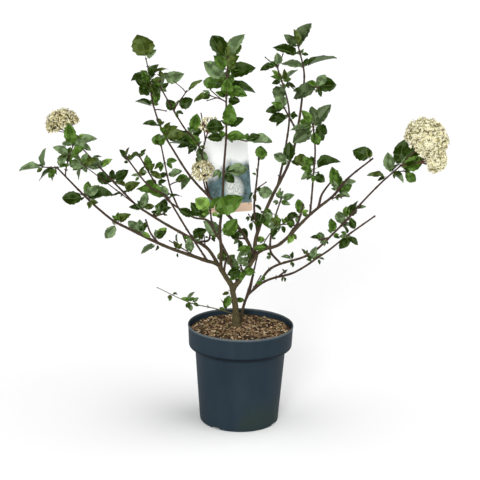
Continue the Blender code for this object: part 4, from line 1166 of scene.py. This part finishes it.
def growSpray(foliage, name, plan, parent):
    p = growth
    draw = random.Random(f"{p['seed']}{name}")
    tint, foot, tip = plan.get("stem", ("brown", p["twigFoot"], p["twigTip"]))
    stems = growStems(plan, parent, foot, tip)
    nodes = plan.get("nodes", ())
    for stem, share, *leaves in nodes:
        growNode(foliage, draw, stems[stem], share, leaves)
    for index, stem in enumerate(stems[:-1]):
        leafy = [share * stem.lengths[-1] for owner, share, *_ in nodes if owner == index]
        gap = draw.uniform(*p["bareEvery"])
        bare = [place for place in np.arange(p["bareFrom"], stem.lengths[-1], gap)
                if all(abs(place - other) > p["bareClear"] for other in leafy)]
        stem.swell(leafy + bare, p["twigSwell"], p["twigNodeLong"])
        foliage.addTube(stem, tint)
        growBuds(foliage, stem, bare, draw)
        point, axis, radius = stem.at(1)
        foliage.addBud(point, axis, radius * 1.4, draw)
    for head in plan.get("heads", ()):
        growHead(foliage.blossom, draw, stems[0].line[-1], *head)


# Blossom: domes of small five-petalled florets on branching rays

blossomPlan = dict(
    floretSize=(3.0, 4.2), cup=(0.05, 0.35), packing=4.7, crowding=1.15, rays=9, rayReach=0.6,
    rayDrop=0.15, unevenness=0.12, lift=(-0.13, 0.04), facing=0.45, budShare=0.25,
    fresh=("cream", "cream", "pale", "pale", "shade"),
    dull=("cream", "pale", "shade", "shade", "bud"), budTints=("bud", "shade", "cream"),
    tints=dict(cream=(0.84, 0.79, 0.51), pale=(0.90, 0.87, 0.66), shade=(0.46, 0.41, 0.19),
               eye=(0.36, 0.31, 0.09), ray=(0.095, 0.042, 0.024), stalk=(0.16, 0.17, 0.06),
               bud=(0.26, 0.22, 0.10)))
blossomSlots = [*blossomPlan["tints"]]


def addFloret(heap, place, out, size, draw, petalTints):
    # Five cupped petals and an eye
    side = out.orthogonal().normalized()
    other = out.cross(side)
    turn = draw.uniform(0, math.tau)

    def spot(angle, reach, lift):
        around = side * math.cos(turn + angle) + other * math.sin(turn + angle)
        return place + around * size * reach + out * size * lift

    points, faces, slots = [place - out * size * 0.5], [], []
    for petal in range(5):
        middle, cup = math.tau * petal / 5, draw.uniform(*blossomPlan["cup"])
        first = len(points)
        points += [spot(middle - 0.5, 0.55, cup * 0.5), spot(middle - 0.22, 1.0, cup),
                   spot(middle + 0.22, 1.0, cup), spot(middle + 0.5, 0.55, cup * 0.5)]
        faces += [(0, first, first + 3), (first, first + 1, first + 2, first + 3)]
        slots += [blossomSlots.index(draw.choice(petalTints))] * 2
    first = len(points)
    points += [spot(math.tau * step / 4, 0.22, -0.12) for step in range(4)]
    points.append(place + out * size * 0.16)
    faces += [(first + step, first + (step + 1) % 4, first + 4) for step in range(4)]
    slots += [blossomSlots.index("eye")] * 4
    heap.add(points, faces, slots)


def addRay(heap, line, radii, tint, sides):
    points, faces, _, _ = tubeOf(Limb(line, radii), sides)
    heap.add(points, faces, blossomSlots.index(tint))


def growHead(heap, draw, foot, centre, radius, height, fill, low, axis=None):
    # Rays fork from the stalk's tip at foot, and each floret stands on the ray nearest to it.
    # Places follow a spiral from the top down. A sparser head is duller, with more closed buds.
    p = blossomPlan
    centre = Vector(centre)
    up = Vector(axis).normalized() if axis else (centre - foot).normalized()
    side = up.orthogonal().normalized()
    other = up.cross(side)
    fork = foot.lerp(centre, 0.5)
    sparse = 1 - fill
    addRay(heap, [foot, fork], (growth["shootFoot"] + 0.2, growth["shootFoot"]), "ray", 6)
    ends = []
    for ray in range(p["rays"]):
        angle = math.tau * ray / (p["rays"] - 1) + draw.uniform(-0.2, 0.2)
        reach = p["rayReach"] if ray else 0.0
        spread = (side * math.cos(angle) + other * math.sin(angle)) * radius * reach
        ends.append(centre + spread - up * height * p["rayDrop"])
        line = smoothLine([fork, fork.lerp(ends[-1], 0.5) + up * 2, ends[-1]], up, 6)
        addRay(heap, line, (1.1 + 0.4 * sparse, 0.75 + 0.3 * sparse), "ray", 5)
    area = math.pi * radius * (radius + height) * (1 + low)
    count = round(area / p["packing"] ** 2 * p["crowding"])
    for index in range(count):
        rise = 1 - (index + 0.5) / count * (1 + low)
        around = index * math.pi * (3 - math.sqrt(5))
        if draw.random() > fill:
            continue
        ring = math.sqrt(max(0, 1 - rise * rise))
        spread = side * math.cos(around) + other * math.sin(around)
        out = (spread * ring * height + up * rise * radius).normalized()
        swell = 1 + p["unevenness"] * noise.noise(out * 3.1 + centre * 0.1)
        swell += draw.uniform(*p["lift"])
        place = centre + (spread * ring * radius + up * rise * height) * swell
        sway = Vector([draw.uniform(-p["facing"], p["facing"]) for _ in range(3)])
        facing = (out + sway).normalized()
        if draw.random() < p["budShare"] * (1 + 2 * sparse):
            bud = [place - facing * 2.2, place, place + facing * 1.6]
            addRay(heap, bud, (0.6, 1.3), draw.choice(p["budTints"]), 5)
        else:
            size = draw.uniform(*p["floretSize"])
            addFloret(heap, place, facing, size, draw, p["dull" if sparse else "fresh"])
        nearest = min(ends, key=lambda end: (end - place).length)
        tint = "ray" if draw.random() < 0.35 + sparse else "stalk"
        addRay(heap, [nearest, place - facing * 1.6],
               (0.5 + 0.6 * sparse, 0.35 + 0.4 * sparse), tint, 3)


def leafMaterial(name, colour, gloss):
    # A plain colour, with the side veins pressed in
    p = leafPlan
    graph = Graph(makeMaterial("leaf_" + name, colour, p["rough"], gloss))
    spot = graph.split(graph.add("UVMap").outputs["UV"])
    off = graph.maths("ABSOLUTE", graph.maths("SUBTRACT", spot["X"], 0.5))
    rake = graph.scaled(graph.scaled(off, -0.55, spot["Y"]), p["veins"])
    vein = graph.maths("ABSOLUTE", graph.maths("SINE", rake))
    graph.bump(graph.maths("POWER", vein, 0.5), 0.6, p["veinDepth"])
    return graph.owner


def makeFoliage(limbs):
    foliage = Foliage()
    for name, plan in sprayPlans.items():
        growSpray(foliage, name, plan, limbs[plan["limb"]])
    draw = random.Random(growth["seed"])
    for limb in limbs.values():
        if limb.radii[0] < growth["buddingUnder"]:
            growBuds(foliage, limb, limb.nodes, draw)
    greens = [leafMaterial(tint + tone, [bright * part + pale for part in colour], gloss)
              for tint, colour in leafTints.items()
              for tone, (bright, pale, gloss) in leafTones.items()]
    greens += [leafMaterial(name, colour, leafPlan["otherGloss"])
               for name, colour in leafOthers.items()]
    leaves = foliage.leaves.build("leaves", greens)
    twigs, blossom = [
        heap.build(name, [makeMaterial(kind + tint, colour, 0.6) for tint, colour in tints.items()])
        for heap, name, kind, tints in (
            (foliage.twigs, "twigs", "twig_", twigTints),
            (foliage.blossom, "blossom", "floret_", blossomPlan["tints"]))]
    for piece, slot in ((leaves, "foliage"), (twigs, "bark"), (blossom, "blossom")):
        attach(piece, "root")
    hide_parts(*[name for name in sprayPlans if not name.startswith("blossom")])
    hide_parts(*[name for name in sprayPlans if name.startswith("blossom")])
    print("foliage made:", foliage.count, "leaves")


makeFoliage(limbs)


# Plant label: a printed card that hangs behind a stem on a loop

cardPlan = dict(
    wide=93.0, high=157.0, thick=0.8, corner=5.0, strips=12, centre=(-33.0, 94.0, 503.0), lean=5.3,
    curl=1.2, paper=(0.89, 0.90, 0.885), band=(0.80, 0.58, 0.42), leafy=(0.10, 0.19, 0.22),
    deep=(0.02, 0.035, 0.035), fresh=(0.22, 0.32, 0.30), bloom=(0.80, 0.82, 0.78),
    bloomShade=(0.45, 0.50, 0.48), loop=(0.55, 0.56, 0.50))


def cardMaterial():
    # White above, a leafy picture with a round pale bloom below, and a plain band at the foot
    p = cardPlan
    graph = Graph(makeMaterial("cardPrint", p["paper"], 0.3))
    uv = graph.add("UVMap").outputs["UV"]
    across, up, _ = graph.split(uv)
    blotch = graph.ramp(graph.noise(uv, 5.5, 5, 0.6), [(0.38, 0.0), (0.6, 1.0)])
    cloud = graph.noise(uv, 2.2, 3)
    fine = graph.noise(uv, 26, 3)
    leafy = graph.mix(blotch, p["deep"], p["leafy"])
    leafy = graph.mix(graph.ramp(fine, [(0.35, 0.0), (0.7, 0.5)]), leafy, p["fresh"])
    offsets = [graph.maths("ABSOLUTE", graph.scaled(value, factor, -middle))
               for value, factor, middle in ((across, 1, 0.62), (up, 1.3, 0.42))]
    distance = graph.maths("ADD", *[graph.maths("POWER", offset, 2) for offset in offsets])
    head = graph.ramp(graph.scaled(fine, 0.05, distance), [(0.045, 1.0), (0.085, 0.0)])
    petals = graph.mix(graph.ramp(fine, [(0.4, 0.0), (0.55, 1.0)]), p["bloomShade"], p["bloom"])
    leafy = graph.mix(head, leafy, petals)
    edge = graph.maths("ADD", up, graph.scaled(cloud, 0.5, graph.scaled(across, -0.30)))
    picture = graph.ramp(edge, [(0.62, 1.0), (0.78, 0.0)], "EASE")
    foot = graph.ramp(up, [(0.118, 1.0), (0.122, 0.0)])
    upper = graph.mix(picture, p["paper"], leafy)
    graph.shade("Base Color", graph.mix(foot, upper, p["band"]))
    return graph.owner


def makeCard():
    p = cardPlan
    deselectAll()
    bpy.ops.mesh.primitive_plane_add(size=mm)
    card = bpy.context.object
    card.name = "plant_label"
    card.scale = (p["wide"], p["high"], 1)
    applyPlace(card)
    bpy.ops.object.mode_set(mode="EDIT")
    bpy.ops.mesh.select_all(action="SELECT")
    bpy.ops.mesh.bevel(offset=p["corner"] * mm, segments=6, affect="VERTICES")
    for cut in range(1, p["strips"]):
        bpy.ops.mesh.select_all(action="SELECT")
        place = (cut / p["strips"] - 0.5) * p["wide"] * mm
        bpy.ops.mesh.bisect(plane_co=(place, 0, 0), plane_no=(1, 0, 0))
    bpy.ops.object.mode_set(mode="OBJECT")
    for vert in card.data.vertices:
        vert.co.z = p["curl"] * mm * (2 * vert.co.x / (p["wide"] * mm)) ** 2
    addModifier(card, "SOLIDIFY", thickness=p["thick"] * mm, offset=0)
    applyModifiers(card)
    card.rotation_euler = (math.pi / 2, math.radians(-p["lean"]), 0)
    card.location = [value * mm for value in p["centre"]]
    applyPlace(card)
    card.data.materials.append(cardMaterial())
    card.data.materials.append(makeMaterial("cardBack", p["paper"], 0.35))
    for face in card.data.polygons:
        if face.normal.y > -0.3:  # all that doesn't look to the front is unprinted
            face.material_index = 1
    smoothShading(card, 30)
    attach(card, "root")
    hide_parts("label_card")
    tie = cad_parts["label_tie"]
    tie.data.materials.clear()
    tie.data.materials.append(makeMaterial("paleLoop", p["loop"], 0.4))


makeCard()
print("label made")
